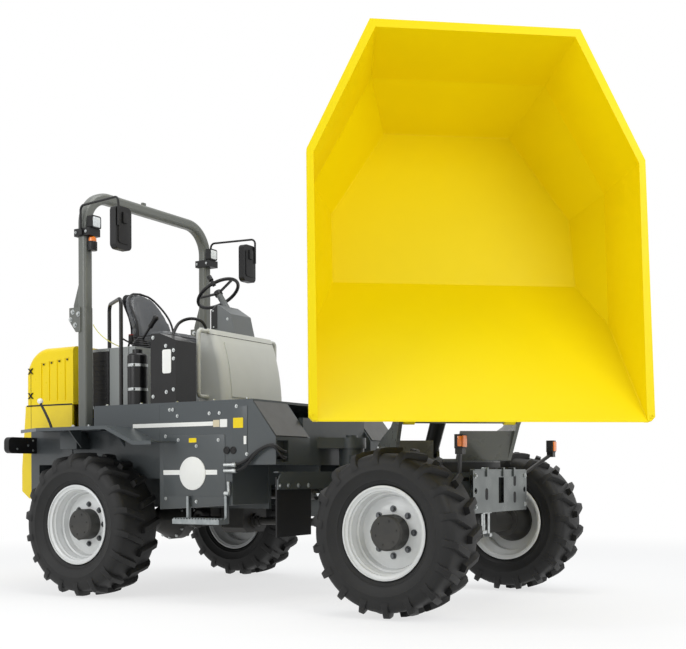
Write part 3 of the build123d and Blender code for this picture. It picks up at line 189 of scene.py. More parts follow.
# columns: radius, distance from the wheel's middle; the rim's outer skin from its inboard lip
RIM_LINE = [(0.294, -0.165), (0.300, -0.161), (0.300, -0.156), (0.290, -0.151), (0.2785, -0.149),
            (0.2770, -0.090), (0.262, -0.072), (0.240, -0.060), (0.239, 0.020), (0.250, 0.040),
            (0.250, 0.052), (0.262, 0.058), (0.262, 0.082), (0.2680, 0.090), (0.2680, 0.118),
            (0.2770, 0.126), (0.2770, 0.146), (0.283, 0.151), (0.291, 0.152),
            (0.300, 0.157), (0.300, 0.161), (0.295, 0.165)]
RIM_SHEET = 0.0085
STUDS = 8
STUD_CIRCLE = 0.150
DISC_FACE = 0.025             # disc's outer face, outboard of the wheel's middle


def plain_object(name, mesh):
    """An object of a mesh, linked to the scene."""
    made = bpy.data.objects.new(name, mesh)
    bpy.context.scene.collection.objects.link(made)
    return made


def mesh_of(form, name):
    """A closed form as a mesh with its faces outwards."""
    bmesh.ops.remove_doubles(form, verts=form.verts, dist=1e-6)
    bmesh.ops.recalc_face_normals(form, faces=form.faces)
    mesh = bpy.data.meshes.new(name)
    form.to_mesh(mesh)
    form.free()
    return mesh


def settled(made):
    """What an object's modifiers or curve give, as a plain mesh; the object goes."""
    bpy.context.view_layer.update()
    depsgraph = bpy.context.evaluated_depsgraph_get()
    mesh = bpy.data.meshes.new_from_object(made.evaluated_get(depsgraph), depsgraph=depsgraph)
    bpy.data.objects.remove(made)
    return mesh


def fit(name, mesh, finish, body, place=MACHINE, crease=35):
    """A finished piece: its mesh moved to its place, with its finish, riding on its body."""
    mesh.transform(place)
    if place.determinant() < 0:
        mesh.flip_normals()
    mesh.shade_smooth()
    mesh.set_sharp_from_angle(angle=math.radians(crease))
    if finish:
        mesh.materials.clear()
        mesh.materials.append(finish)
    made = plain_object(name, mesh)
    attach(made, body)
    return made


def dress(finish, *nodes):
    """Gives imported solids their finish."""
    for node in nodes:
        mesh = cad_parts[node].data
        mesh.materials.clear()
        mesh.materials.append(finish)


def turned(form, line, place, turns=48):
    """A closed outline of (radius, along) spun about the local z axis."""
    rings = []
    for turn in range(turns):
        angle = 2 * math.pi * turn / turns
        rings.append([form.verts.new(place @ Vector((r * math.cos(angle), r * math.sin(angle), z)))
                      for r, z in line])
    for ring, after in zip(rings, rings[1:] + rings[:1]):
        for k in range(len(line)):
            form.faces.new((ring[k - 1], ring[k], after[k], after[k - 1]))


def turned_to(direction):
    """The turn that takes the local z axis to a direction."""
    return Vector(direction).to_track_quat("Z", "Y").to_matrix().to_4x4()


def sprayed(name, code, shade, roughness, dust, coat=0.2, gloss=0.4):
    """Sprayed enamel: slow drift between two tones, orange peel, and road dust low down."""
    material, tree = new_material(name)
    place = add(tree, "ShaderNodeTexCoord")
    drift = add(tree, "ShaderNodeTexNoise", {"Scale": 1.4, "Detail": 3.0},
                {0: place.outputs["Object"]})
    tone = add(tree, "ShaderNodeMix", {"data_type": "RGBA", 6: colour(code), 7: colour(shade)},
               {0: drift.outputs[0]})
    height = add(tree, "ShaderNodeSeparateXYZ", {}, {0: place.outputs["Object"]})
    low = add(tree, "ShaderNodeMapRange",
              {"From Min": 0.35, "From Max": 1.35, "To Min": dust, "To Max": 0.0},
              {"Value": height.outputs["Z"]})
    speck = add(tree, "ShaderNodeTexNoise", {"Scale": 11.0, "Detail": 6.0, "Roughness": 0.65},
                {0: place.outputs["Object"]})
    dusty = add(tree, "ShaderNodeMath", {"operation": "MULTIPLY"},
                {0: low.outputs["Result"], 1: speck.outputs[0]})
    skin = add(tree, "ShaderNodeMix", {"data_type": "RGBA", 7: colour("#8F887A")},
               {0: dusty.outputs[0], 6: tone.outputs[2]})
    matt = add(tree, "ShaderNodeMapRange",
               {"From Min": 0.3, "From Max": 0.7, "To Min": roughness - 0.04,
                "To Max": roughness + 0.08},
               {"Value": speck.outputs[0]})
    peel = add(tree, "ShaderNodeTexNoise", {"Scale": 190.0, "Detail": 1.0},
               {0: place.outputs["Object"]})
    bump = add(tree, "ShaderNodeBump", {"Strength": 0.05, "Distance": 0.001},
               {"Height": peel.outputs[0]})
    shader = add(tree, "ShaderNodeBsdfPrincipled",
                 {"Coat Weight": coat, "Coat Roughness": 0.12, "Specular IOR Level": gloss},
                 {"Base Color": skin.outputs[2], "Roughness": matt.outputs["Result"],
                  "Normal": bump.outputs[0]})
    add(tree, "ShaderNodeOutputMaterial", {}, {"Surface": shader.outputs[0]})
    return material


def moulded(name, code, shade, roughness, grain, depth, gloss=0.35):
    """Moulded plastic or rubber: two near tones and a fine leathery grain, grain in metres."""
    material, tree = new_material(name)
    place = add(tree, "ShaderNodeTexCoord")
    drift = add(tree, "ShaderNodeTexNoise", {"Scale": 7.0, "Detail": 5.0},
                {0: place.outputs["Object"]})
    tone = add(tree, "ShaderNodeMix", {"data_type": "RGBA", 6: colour(code), 7: colour(shade)},
               {0: drift.outputs[0]})
    cells = add(tree, "ShaderNodeTexVoronoi", {"feature": "SMOOTH_F1", "Scale": 1.0 / grain},
                {0: place.outputs["Object"]})
    bump = add(tree, "ShaderNodeBump", {"Strength": depth, "Distance": 0.001},
               {"Height": cells.outputs[0]})
    shader = add(tree, "ShaderNodeBsdfPrincipled",
                 {"Roughness": roughness, "Specular IOR Level": gloss},
                 {"Base Color": tone.outputs[2], "Normal": bump.outputs[0]})
    add(tree, "ShaderNodeOutputMaterial", {}, {"Surface": shader.outputs[0]})
    return material


def bright_metal(name, code, shade, roughness, grain):
    """Bare or plated metal: mottled tone and roughness, grain in metres."""
    material, tree = new_material(name)
    place = add(tree, "ShaderNodeTexCoord")
    mottle = add(tree, "ShaderNodeTexVoronoi", {"Scale": 1.0 / grain}, {0: place.outputs["Object"]})
    tone = add(tree, "ShaderNodeMix", {"data_type": "RGBA", 6: colour(code), 7: colour(shade)},
               {0: mottle.outputs[0]})
    matt = add(tree, "ShaderNodeMapRange", {"To Min": roughness - 0.05, "To Max": roughness + 0.10},
               {"Value": mottle.outputs[0]})
    shader = add(tree, "ShaderNodeBsdfPrincipled", {"Metallic": 1.0},
                 {"Base Color": tone.outputs[2], "Roughness": matt.outputs["Result"]})
    add(tree, "ShaderNodeOutputMaterial", {}, {"Surface": shader.outputs[0]})
    return material


# Vulcanised rubber: soft black, greyed a little in random patches, faintly rough to the eye.
tread_rubber = moulded("tread_rubber", "#121213", "#20201F", 0.58, 0.006, 0.12)
# Silver-white wheel enamel: bright, smooth, hardly soiled.
wheel_silver = sprayed("wheel_silver", "#E6E7E6", "#D8DAD9", 0.30, 0.22)
# Cast iron under thick grey paint: dull, slightly uneven.
cast_grey = sprayed("cast_grey", "#1F2224", "#181A1C", 0.50, 0.22, coat=0.0)
# Zinc-plated steel: pale, soft gleam on screws and nuts.
zinc_plate = bright_metal("zinc_plate", "#C9CCCB", "#A9ADAD", 0.32, 0.02)
# Phosphated steel: dark grey wheel nuts with a dull gleam.
dark_steel = bright_metal("dark_steel", "#6E7072", "#4E5052", 0.42, 0.02)


def hex_tree():
    """Hexagon heads on washers, one on each point of a mesh, set square to its seat."""
    tree = bpy.data.node_groups.new("hex_heads", "GeometryNodeTree")
    tree.interface.new_socket("Seats", in_out="INPUT", socket_type="NodeSocketGeometry")
    for name in ("Head radius", "Head height"):
        tree.interface.new_socket(name, in_out="INPUT", socket_type="NodeSocketFloat")
    tree.interface.new_socket("Finish", in_out="INPUT", socket_type="NodeSocketMaterial")
    tree.interface.new_socket("Heads", in_out="OUTPUT", socket_type="NodeSocketGeometry")
    given = add(tree, "NodeGroupInput")
    rise = add(tree, "ShaderNodeMath", {"operation": "MULTIPLY", 1: 0.86},
               {0: given.outputs["Head radius"]})
    head = add(tree, "GeometryNodeMeshCone", {"Vertices": 6},
               {"Radius Bottom": given.outputs["Head radius"], "Radius Top": rise.outputs[0],
                "Depth": given.outputs["Head height"]})
    wide = add(tree, "ShaderNodeMath", {"operation": "MULTIPLY", 1: 1.45},
               {0: given.outputs["Head radius"]})
    thin = add(tree, "ShaderNodeMath", {"operation": "MULTIPLY", 1: 0.25},
               {0: given.outputs["Head height"]})
    washer = add(tree, "GeometryNodeMeshCylinder", {"Vertices": 14},
                 {"Radius": wide.outputs[0], "Depth": thin.outputs[0]})
    bolt = add(tree, "GeometryNodeJoinGeometry")
    tree.links.new(head.outputs["Mesh"], bolt.inputs[0])
    tree.links.new(washer.outputs["Mesh"], bolt.inputs[0])
    square = add(tree, "GeometryNodeInputNamedAttribute",
                 {"data_type": "FLOAT_VECTOR", "Name": "seat"})
    turn = add(tree, "FunctionNodeAlignRotationToVector", {"axis": "Z"},
               {"Vector": square.outputs["Attribute"]})
    spread = add(tree, "GeometryNodeInstanceOnPoints", {},
                 {"Points": given.outputs["Seats"], "Instance": bolt.outputs[0],
                  "Rotation": turn.outputs[0]})
    whole = add(tree, "GeometryNodeRealizeInstances", {}, {0: spread.outputs[0]})
    coated = add(tree, "GeometryNodeSetMaterial", {},
                 {"Geometry": whole.outputs[0], "Material": given.outputs["Finish"]})
    result = add(tree, "NodeGroupOutput")
    tree.links.new(coated.outputs[0], result.inputs[0])
    return tree


HEX_HEADS = hex_tree()


def give(modifier, values):
    """Sets a nodes modifier's inputs by their names, through their identifiers."""
    for socket in modifier.node_group.interface.items_tree:
        if socket.in_out == "INPUT" and socket.name in values:
            modifier[socket.identifier] = values[socket.name]


def hex_bolts(name, seats, radius, height, finish, body, place=MACHINE):
    """Bolt heads at (place, direction) seats, as one piece."""
    mesh = bpy.data.meshes.new(name)
    mesh.from_pydata([Vector(seat) for seat, _ in seats], [], [])
    square = mesh.attributes.new("seat", "FLOAT_VECTOR", "POINT")
    for item, (_, direction) in zip(square.data, seats):
        item.vector = Vector(direction).normalized()
    made = plain_object(name, mesh)
    nodes = made.modifiers.new("heads", "NODES")
    nodes.node_group = HEX_HEADS
    give(nodes, {"Head radius": radius, "Head height": height, "Finish": finish})
    return fit(name, settled(made), None, body, place, crease=25)


def ring_of(count, radius, along, start=0.0):
    """Seats on a circle about the local y axis, facing out along it."""
    side = 1 if along >= 0 else -1
    return [((radius * math.sin(start + 2 * math.pi * k / count), along,
              radius * math.cos(start + 2 * math.pi * k / count)), (0, side, 0))
            for k in range(count)]


def lug_mesh():
    """One leaning lug of the outboard half, standing at the top of the tyre."""
    form = bmesh.new()
    loops = []
    for y, top, root in LUG_LINE:
        lead = LUG_LEAN * (0.5 - y / 0.2025)
        loop = []
        for share, radius in ((-1.0, root), (-1.0, top - 0.006), (-0.82, top), (0.82, top),
                              (1.0, top - 0.006), (1.0, root)):
            wide = LUG_WIDTH[0] if radius == root else LUG_WIDTH[1]
            turn = (lead + share * wide / 2) / TYRE_R
            loop.append(form.verts.new((radius * math.sin(turn), y, radius * math.cos(turn))))
        loops.append(loop)
    for loop, after in zip(loops, loops[1:]):
        for k in range(len(loop)):
            form.faces.new((loop[k - 1], loop[k], after[k], after[k - 1]))
    form.faces.new(loops[0])
    form.faces.new(loops[-1])
    return mesh_of(form, "tyre_lug")


def lug_tree():
    """Lugs round both halves of the tread, the inboard half mirrored and half a pitch on."""
    tree = bpy.data.node_groups.new("lug_ring", "GeometryNodeTree")
    tree.interface.new_socket("Lug", in_out="INPUT", socket_type="NodeSocketGeometry")
    tree.interface.new_socket("Count", in_out="INPUT", socket_type="NodeSocketInt")
    tree.interface.new_socket("Finish", in_out="INPUT", socket_type="NodeSocketMaterial")
    tree.interface.new_socket("Tread", in_out="OUTPUT", socket_type="NodeSocketGeometry")
    given = add(tree, "NodeGroupInput")
    turning = add(tree, "GeometryNodeInputIndex")
    pitch = add(tree, "ShaderNodeMath", {"operation": "DIVIDE", 0: 2 * math.pi},
                {1: given.outputs["Count"]})
    angle = add(tree, "ShaderNodeMath", {"operation": "MULTIPLY"},
                {0: turning.outputs[0], 1: pitch.outputs[0]})
    spin = add(tree, "ShaderNodeCombineXYZ", {}, {"Y": angle.outputs[0]})
    hubs = add(tree, "GeometryNodeMeshLine", {"Offset": (0, 0, 0)}, {"Count": given.outputs["Count"]})
    outboard = add(tree, "GeometryNodeInstanceOnPoints", {},
                   {"Points": hubs.outputs[0], "Instance": given.outputs["Lug"],
                    "Rotation": spin.outputs[0]})
    solid = add(tree, "GeometryNodeRealizeInstances", {}, {0: outboard.outputs[0]})
    half = add(tree, "ShaderNodeMath", {"operation": "MULTIPLY", 1: 0.5}, {0: pitch.outputs[0]})
    shift = add(tree, "ShaderNodeCombineXYZ", {}, {"Y": half.outputs[0]})
    turned_on = add(tree, "GeometryNodeTransform", {"Scale": (1, -1, 1)},
                    {"Geometry": solid.outputs[0], "Rotation": shift.outputs[0]})
    inboard = add(tree, "GeometryNodeFlipFaces", {}, {0: turned_on.outputs[0]})
    both = add(tree, "GeometryNodeJoinGeometry")
    tree.links.new(solid.outputs[0], both.inputs[0])
    tree.links.new(inboard.outputs[0], both.inputs[0])
    coated = add(tree, "GeometryNodeSetMaterial", {},
                 {"Geometry": both.outputs[0], "Material": given.outputs["Finish"]})
    result = add(tree, "NodeGroupOutput")
    tree.links.new(coated.outputs[0], result.inputs[0])
    return tree


lug = plain_object("tyre_lug", lug_mesh())
nodes = lug.modifiers.new("tread", "NODES")
nodes.node_group = lug_tree()
give(nodes, {"Count": LUGS, "Finish": tread_rubber})
tread = settled(lug)

ACROSS = Matrix.Rotation(-math.pi / 2, 4, "X")      # local z to the wheel's y
tyre_form = bmesh.new()
whole_line = CASING + [(r, -y) for r, y in reversed(CASING[:-1])]
turned(tyre_form, whole_line, ACROSS, turns=72)
tyre_form.from_mesh(tread)
tyre_mesh = mesh_of(tyre_form, "tyre")

rim_form = bmesh.new()
skin = [(r - RIM_SHEET, y) for r, y in RIM_LINE]
turned(rim_form, RIM_LINE + list(reversed(skin)), ACROSS, turns=72)
turned(rim_form, [(0.096, 0.010), (0.096, DISC_FACE - 0.002), (0.098, DISC_FACE), (0.175, DISC_FACE),
                  (0.180, DISC_FACE - 0.002), (0.205, 0.016), (0.2310, 0.016), (0.2310, 0.004),
                  (0.200, 0.004), (0.172, 0.010)], ACROSS, turns=72)
rim_mesh = mesh_of(rim_form, "rim")

for wheel, x, side in (("rear_left", "rear", 1), ("rear_right", "rear", -1),
                       ("front_left", "front", 1), ("front_right", "front", -1)):
    low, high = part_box("tyre_" + wheel)
    middle = (low + high) / 2
    body = "wheel_" + wheel
    hub_y = (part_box("rim_" + wheel)[0].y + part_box("rim_" + wheel)[1].y) / 2
    place = Matrix.Translation((middle.x, hub_y, AXLE_Z)) @ Matrix.Diagonal((1, side, 1, 1))
    cover = fit("tyre_cover_" + wheel, tyre_mesh.copy(), tread_rubber, body, place, crease=30)
    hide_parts("tyre_" + wheel)
    disc = fit("rim_disc_" + wheel, rim_mesh.copy(), wheel_silver, body, place, crease=40)
    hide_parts("rim_" + wheel)
    hex_bolts("wheel_nuts_" + wheel, ring_of(STUDS, STUD_CIRCLE, DISC_FACE + 0.004), 0.015, 0.016,
              dark_steel, body, place)
    hex_bolts("hub_screws_" + wheel, ring_of(6, 0.078, 0.1305, start=0.3), 0.007, 0.004, cast_grey,
              body, place)
    dress(cast_grey, "hub_" + wheel)

# ---------------------------------------------------------------- axles and drive line
# Cast axle housings and a transfer box, joined by welded tube shafts under black enamel.
HOUSING_R = 0.152
# Black chassis enamel: deep, smooth, a little dusty low down.
black_enamel = sprayed("black_enamel", "#0A0A0B", "#121213", 0.32, 0.18, coat=0.1, gloss=0.3)
dress(cast_grey, "rear_axle", "front_axle", "drive_line")
dress(black_enamel, "front_shaft")
for axle, body in (("rear_axle", "rear_frame"), ("front_axle", "front_frame")):
    low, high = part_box(axle)
    # the input flange stands out on one side only, so the housing's middle is read from the wheel
    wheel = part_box("tyre_" + axle.split("_")[0] + "_left")
    middle = Matrix.Translation(((wheel[0].x + wheel[1].x) / 2, AXLE_Y, AXLE_Z))
    hex_bolts("housing_bolts_" + axle, ring_of(12, HOUSING_R, 0.071) + ring_of(12, HOUSING_R, -0.071),
              0.011, 0.010, zinc_plate, body, middle)

# ---------------------------------------------------------------- rear frame
# Folded and welded steel plate, shot-blasted and sprayed anthracite: rails, fork, deck, side
# tanks and fenders.  The engine is a black casting; the tail weight is half yellow, half dark.
BODY_Y = 0.850
TAIL_SEAM_X = -0.935          # the tail is yellow behind this
TAIL_SEAM_Z = 1.285           # and above this
# Anthracite two-pack enamel on shot-blasted plate: cool dark grey with a soft sheen.
frame_enamel = sprayed("frame_enamel", "#444A4D", "#3C4245", 0.38, 0.22)
# The same enamel in a warmer, slightly darker tone on the sloping panels: painted shade for how light
# falls on their slope.
slope_shade_enamel = sprayed("slope_shade_enamel", "#42423F", "#3B3B38", 0.40, 0.22)
dress(frame_enamel, "rear_chassis", "pivot_fork", "side_tank_left", "side_tank_right",
      "rear_fenders", "rear_deck")
dress(black_enamel, "engine", "engine_mounts", "tow_hitch")

# Cast iron tail weight, its pitted skin sprayed yellow behind one seam and above another and
# anthracite elsewhere.
tail_enamel, tree = new_material("tail_enamel")
place = add(tree, "ShaderNodeTexCoord")
split = add(tree, "ShaderNodeSeparateXYZ", {}, {0: place.outputs["Object"]})
behind = add(tree, "ShaderNodeMath", {"operation": "LESS_THAN", 1: TAIL_SEAM_X + AXLE_X},
             {0: split.outputs["X"]})
above = add(tree, "ShaderNodeMath", {"operation": "GREATER_THAN", 1: TAIL_SEAM_Z},
            {0: split.outputs["Z"]})
either = add(tree, "ShaderNodeMath", {"operation": "MAXIMUM"},
             {0: behind.outputs[0], 1: above.outputs[0]})
speck = add(tree, "ShaderNodeTexNoise", {"Scale": 9.0, "Detail": 5.0}, {0: place.outputs["Object"]})
bright = add(tree, "ShaderNodeMix", {"data_type": "RGBA", 6: colour("#F3D600"), 7: colour("#E6C800")},
             {0: speck.outputs[0]})
dark = add(tree, "ShaderNodeMix", {"data_type": "RGBA", 6: colour("#44484A"), 7: colour("#3A3E40")},
           {0: speck.outputs[0]})
skin = add(tree, "ShaderNodeMix", {"data_type": "RGBA"},
           {0: either.outputs[0], 6: dark.outputs[2], 7: bright.outputs[2]})
cast = add(tree, "ShaderNodeTexNoise", {"Scale": 70.0, "Detail": 3.0}, {0: place.outputs["Object"]})
bump = add(tree, "ShaderNodeBump", {"Strength": 0.12, "Distance": 0.002}, {"Height": cast.outputs[0]})
shader = add(tree, "ShaderNodeBsdfPrincipled", {"Roughness": 0.36, "Coat Weight": 0.25},
             {"Base Color": skin.outputs[2], "Normal": bump.outputs[0]})
add(tree, "ShaderNodeOutputMaterial", {}, {"Surface": shader.outputs[0]})
dress(tail_enamel, "tail_weight")


def brick(form, low, high, edge=0.0):
    """A block between two corners, its edges rounded."""
    corners = bmesh.ops.create_cube(form, size=1.0)["verts"]
    bmesh.ops.scale(form, vec=[b - a for a, b in zip(low, high)], verts=corners)
    bmesh.ops.translate(form, vec=(Vector(low) + Vector(high)) / 2, verts=corners)
    if edge:
        edges = list({e for v in corners for e in v.link_edges})
        bmesh.ops.bevel(form, geom=edges, offset=edge, segments=2, profile=0.7, affect="EDGES")


def slab(form, outline, across, low, high, edge=0.0):
    """A plate with a given outline, thick along one axis (0, 1 or 2)."""
    rings = []
    for level in (low, high):
        ring = []
        for pair in outline:
            corner = list(pair)
            corner.insert(across, level)
            ring.append(form.verts.new(corner))
        rings.append(ring)
    near, far = rings
    faces = [form.faces.new(near), form.faces.new(far)]
    faces += [form.faces.new((near[k - 1], near[k], far[k], far[k - 1])) for k in range(len(outline))]
    if edge:
        bmesh.ops.recalc_face_normals(form, faces=faces)
        rims = list({e for face in faces[:2] for e in face.edges})
        bmesh.ops.bevel(form, geom=rims, offset=edge, segments=2, profile=0.7, affect="EDGES")


def eased(outline, radius, steps=5):
    """The outline with each corner rounded."""
    result = []
    for before, corner, after in zip(outline[-1:] + outline[:-1], outline, outline[1:] + outline[:1]):
        corner = Vector(corner)
        start = corner + (Vector(before) - corner).normalized() * radius
        end = corner + (Vector(after) - corner).normalized() * radius
        for step in range(steps + 1):
            t = step / steps
            result.append(tuple(start * (1 - t) ** 2 + corner * 2 * t * (1 - t) + end * t * t))
    return result


def oblong(x0, x1, y0, y1, radius):
    """A rectangle with round corners."""
    return eased([(x0, y0), (x1, y0), (x1, y1), (x0, y1)], radius)


def tube(route, radius, order=3, sides=4):
    """A round tube on one smooth line through the route, as a mesh."""
    curve = bpy.data.curves.new("tube", "CURVE")
    curve.dimensions = "3D"
    curve.bevel_depth = radius
    curve.bevel_resolution = sides
    curve.resolution_u = 8
    curve.use_fill_caps = True
    line = curve.splines.new("NURBS")
    line.points.add(len(route) - 1)
    for point, spot in zip(line.points, route):
        point.co = (*spot, 1)
    line.order_u = order
    line.use_endpoint_u = True
    return settled(plain_object("tube", curve))


def rod(start, end, radius, sides=4):
    """A straight round bar, as a mesh."""
    middle = (Vector(start) + Vector(end)) / 2
    return tube([start, tuple(middle), end], radius, sides=sides)


def merged(meshes, name):
    """Several meshes as one."""
    form = bmesh.new()
    for mesh in meshes:
        form.from_mesh(mesh)
    return mesh_of(form, name)


# Bolts that hold the side plates, the deck's edge and the mid-frame cover.
plate_bolts = []
for side in (-1, 1):
    for x, z in ((0.774, 1.347), (0.782, 1.171), (1.156, 1.164), (0.952, 1.124), (1.074, 1.357),
                 (1.166, 1.357), (0.70, 1.395), (0.73, 1.395), (1.32, 1.40), (0.66, 1.20),
                 (1.41, 1.06), (0.66, 0.74), (0.95, 0.72), (1.22, 0.75)):
        plate_bolts.append(((x, side * (BODY_Y + 0.003), z), (0, side, 0)))
hex_bolts("side_plate_bolts", plate_bolts, 0.009, 0.007, zinc_plate, "rear_frame")
edge_bolts = [((x, side * 0.826, 1.4525), (0, 0, 1)) for side in (-1, 1)
              for x in (0.05, 0.4, 0.75, 1.1, 1.40)]
hex_bolts("deck_edge_bolts", edge_bolts, 0.010, 0.007, zinc_plate, "rear_frame")

# Cover plates over the tank's side: raised panels with a thin joint between them.
form = bmesh.new()
for side in (-1, 1):
    near, far = sorted((side * (BODY_Y - 0.001), side * (BODY_Y + 0.0035)))
    slab(form, oblong(0.640, 1.215, 0.760, 1.205, 0.02), 1, near, far, edge=0.001)
    slab(form, [(1.285, 0.992), (1.285, 1.40), (1.415, 1.40), (1.415, 0.992)], 1, near, far,
         edge=0.001)
fit("side_covers", mesh_of(form, "side_covers"), frame_enamel, "rear_frame")

# The tank's slanted front and the deck's nose are a sheet with rounded edges, in the frame's grey made
# warmer and darker as painted shade.
form = bmesh.new()
for side in (-1, 1):
    near, far = sorted((side * 0.452, side * 0.846))
    slab(form, [(1.4655, 1.430), (1.661, 1.184), (1.6645, 1.187), (1.469, 1.4335)], 1, near, far)
fit("tank_fronts", mesh_of(form, "tank_fronts"), slope_shade_enamel, "rear_frame")

# ---------------------------------------------------------------- signs on the sides
# Reflective tape, a round speed disc left blank, and blank stickers of printed film.
FILM = 0.0016                 # stands this proud of the plate
# Vinyl sign film, white, cream and yellow: flat and even, no gleam.
white_film = moulded("white_film", "#F2F2EE", "#E6E6E1", 0.40, 0.004, 0.02)
beige_film = moulded("beige_film", "#D9CDB0", "#CCC0A2", 0.45, 0.004, 0.02)
yellow_film = moulded("yellow_film", "#F2D500", "#E6C800", 0.40, 0.004, 0.02)
SIGNS = [
    # name, finish, x from and to, z from and to, corner radius, standing proud of
    ("tape", white_film, 0.336, 1.106, 1.268, 1.298, 0.003, BODY_Y),
    ("tape_end", beige_film, 1.108, 1.165, 1.258, 1.308, 0.004, BODY_Y),
    ("notice_white", white_film, 1.170, 1.235, 1.255, 1.312, 0.004, BODY_Y),
    ("notice_yellow", yellow_film, 1.292, 1.380, 1.246, 1.318, 0.006, BODY_Y + 0.0035),
    ("notice_small", yellow_film, 0.885, 0.955, 1.150, 1.182, 0.004, BODY_Y + 0.0035),
    ("notice_slim", white_film, 1.385, 1.408, 1.130, 1.188, 0.003, BODY_Y + 0.0035),
    ("bar", white_film, 0.640, 1.145, 0.915, 0.950, 0.004, BODY_Y + 0.0035),
]
for name, finish, x0, x1, z0, z1, radius, base in SIGNS:
    form = bmesh.new()
    for side in (-1, 1):
        near, far = sorted((side * (base - 0.001), side * (base + FILM)))
        slab(form, oblong(x0, x1, z0, z1, radius), 1, near, far)
    fit("sign_" + name, mesh_of(form, name), finish, "rear_frame")
form = bmesh.new()
for side in (-1, 1):
    place = Matrix.Translation((0.919, side * (BODY_Y + 0.003), 0.925)) @ turned_to((0, side, 0))
    turned(form, [(0.0, 0.0), (0.121, 0.0), (0.121, 0.006), (0.115, 0.008), (0.0, 0.008)], place, 48)
fit("speed_discs", mesh_of(form, "speed_discs"), white_film, "rear_frame")

# ---------------------------------------------------------------- hydraulic ports and hoses
# Two rubber hoses run from plated couplers on the right side plate, round the tank's front
# and back into its slot; two louvred vents of black plastic sit above them.
# Extruded rubber: dull black with a faint grain.
hose_rubber = moulded("hose_rubber", "#0C0C0D", "#141415", 0.50, 0.004, 0.10)
couplers = []
hoses = []
for z in (0.984, 0.942):
    couplers.append(rod((1.225, -0.872, z), (1.335, -0.872, z), 0.0135))
    couplers.append(rod((1.300, -0.872, z), (1.330, -0.872, z), 0.018))
    hoses.append(tube([(1.325, -0.872, z), (1.40, -0.875, z + 0.010), (1.52, -0.880, 1.035 + z / 20),
                       (1.66, -0.878, 1.035 + z / 10), (1.715, -0.850, 0.09 + z),
                       (1.715, -0.800, 0.09 + z), (1.668, -0.775, 0.09 + z),
                       (1.622, -0.775, 0.09 + z)], 0.0105))
couplers.append(rod((1.258, -0.862, 0.775), (1.258, -0.866, 0.865), 0.014))
couplers.append(rod((1.225, -0.864, 0.780), (1.266, -0.864, 0.780), 0.019))
fit("hose_couplers", merged(couplers, "hose_couplers"), zinc_plate, "rear_frame")
fit("side_hoses", merged(hoses, "side_hoses"), hose_rubber, "rear_frame")
form = bmesh.new()
for x in (1.232, 1.292):
    place = Matrix.Translation((x, -BODY_Y - 0.002, 1.088)) @ turned_to((0, -1, 0))
    turned(form, [(0.0, 0.0), (0.027, 0.0), (0.027, 0.006), (0.022, 0.008), (0.017, 0.004),
                  (0.0, 0.004)], place, 24)
    for drop in (-0.008, 0.0, 0.008):
        brick(form, (x - 0.017, -BODY_Y - 0.009, 1.087 + drop),
              (x + 0.017, -BODY_Y - 0.005, 1.090 + drop))
# Black ABS, moulded with a fine leather grain: dull and even.
black_abs = moulded("black_abs", "#0E0E0F", "#171718", 0.45, 0.0035, 0.08)
fit("tank_vents", mesh_of(form, "tank_vents"), black_abs, "rear_frame")

# ---------------------------------------------------------------- fenders and tail lamps
# Folded fenders on welded gussets, a dark inner splash panel, the isolator's lever with a white
# ball, and lamp clusters of black plastic with red and amber windows.
form = bmesh.new()
for side in (-1, 1):
    for x in (-0.205, 0.255):
        near, far = x - 0.004, x + 0.004
        gusset = [(side * 0.853, 1.272), (side * 0.99, 1.272), (side * 0.853, 1.13)]
        slab(form, gusset, 0, near, far)
    near, far = sorted((side * 0.702, side * 0.846))
    slab(form, [(-0.445, 1.258), (-0.30, 1.258), (-0.262, 1.20), (-0.262, 1.12), (-0.445, 1.12)], 1,
         near, far, edge=0.012)
fit("fender_gussets", mesh_of(form, "fender_gussets"), frame_enamel, "rear_frame")

lever = [tube([(-0.385, -0.985, 1.281), (-0.40, -0.99, 1.34), (-0.487, -1.0, 1.475)], 0.010)]
fit("isolator_lever", merged(lever, "isolator_lever"), black_abs, "rear_frame")
form = bmesh.new()
turned(form, [(0.0, -0.022), (0.012, -0.019), (0.021, -0.008), (0.023, 0.004), (0.017, 0.018),
              (0.0, 0.023)], Matrix.Translation((-0.492, -1.0, 1.494)) @ turned_to((-0.5, 0, 1)), 24)
turned(form, [(0.0, 0.0), (0.034, 0.0), (0.034, 0.004), (0.0, 0.004)],
       Matrix.Translation((-0.385, -0.985, 1.2803)), 20)
fit("isolator_knob", mesh_of(form, "isolator_knob"), white_film, "rear_frame")

dress(black_abs, "tail_lamps")


def lens(name, code, clear):
    """Moulded lamp window: tinted, glossy, with fine vertical flutes."""
    material, tree = new_material(name)
    place = add(tree, "ShaderNodeTexCoord")
    flutes = add(tree, "ShaderNodeTexWave", {"Scale": 60.0, "bands_direction": "DIAGONAL"},
                 {0: place.outputs["Object"]})
    bump = add(tree, "ShaderNodeBump", {"Strength": 0.25, "Distance": 0.001},
               {"Height": flutes.outputs[0]})
    shade = add(tree, "ShaderNodeMix", {"data_type": "RGBA", 6: colour(code), 7: colour(clear)},
                {0: flutes.outputs[0]})
    shader = add(tree, "ShaderNodeBsdfPrincipled", {"Roughness": 0.10, "Coat Weight": 0.6},
                 {"Base Color": shade.outputs[2], "Normal": bump.outputs[0]})
    add(tree, "ShaderNodeOutputMaterial", {}, {"Surface": shader.outputs[0]})
    return material


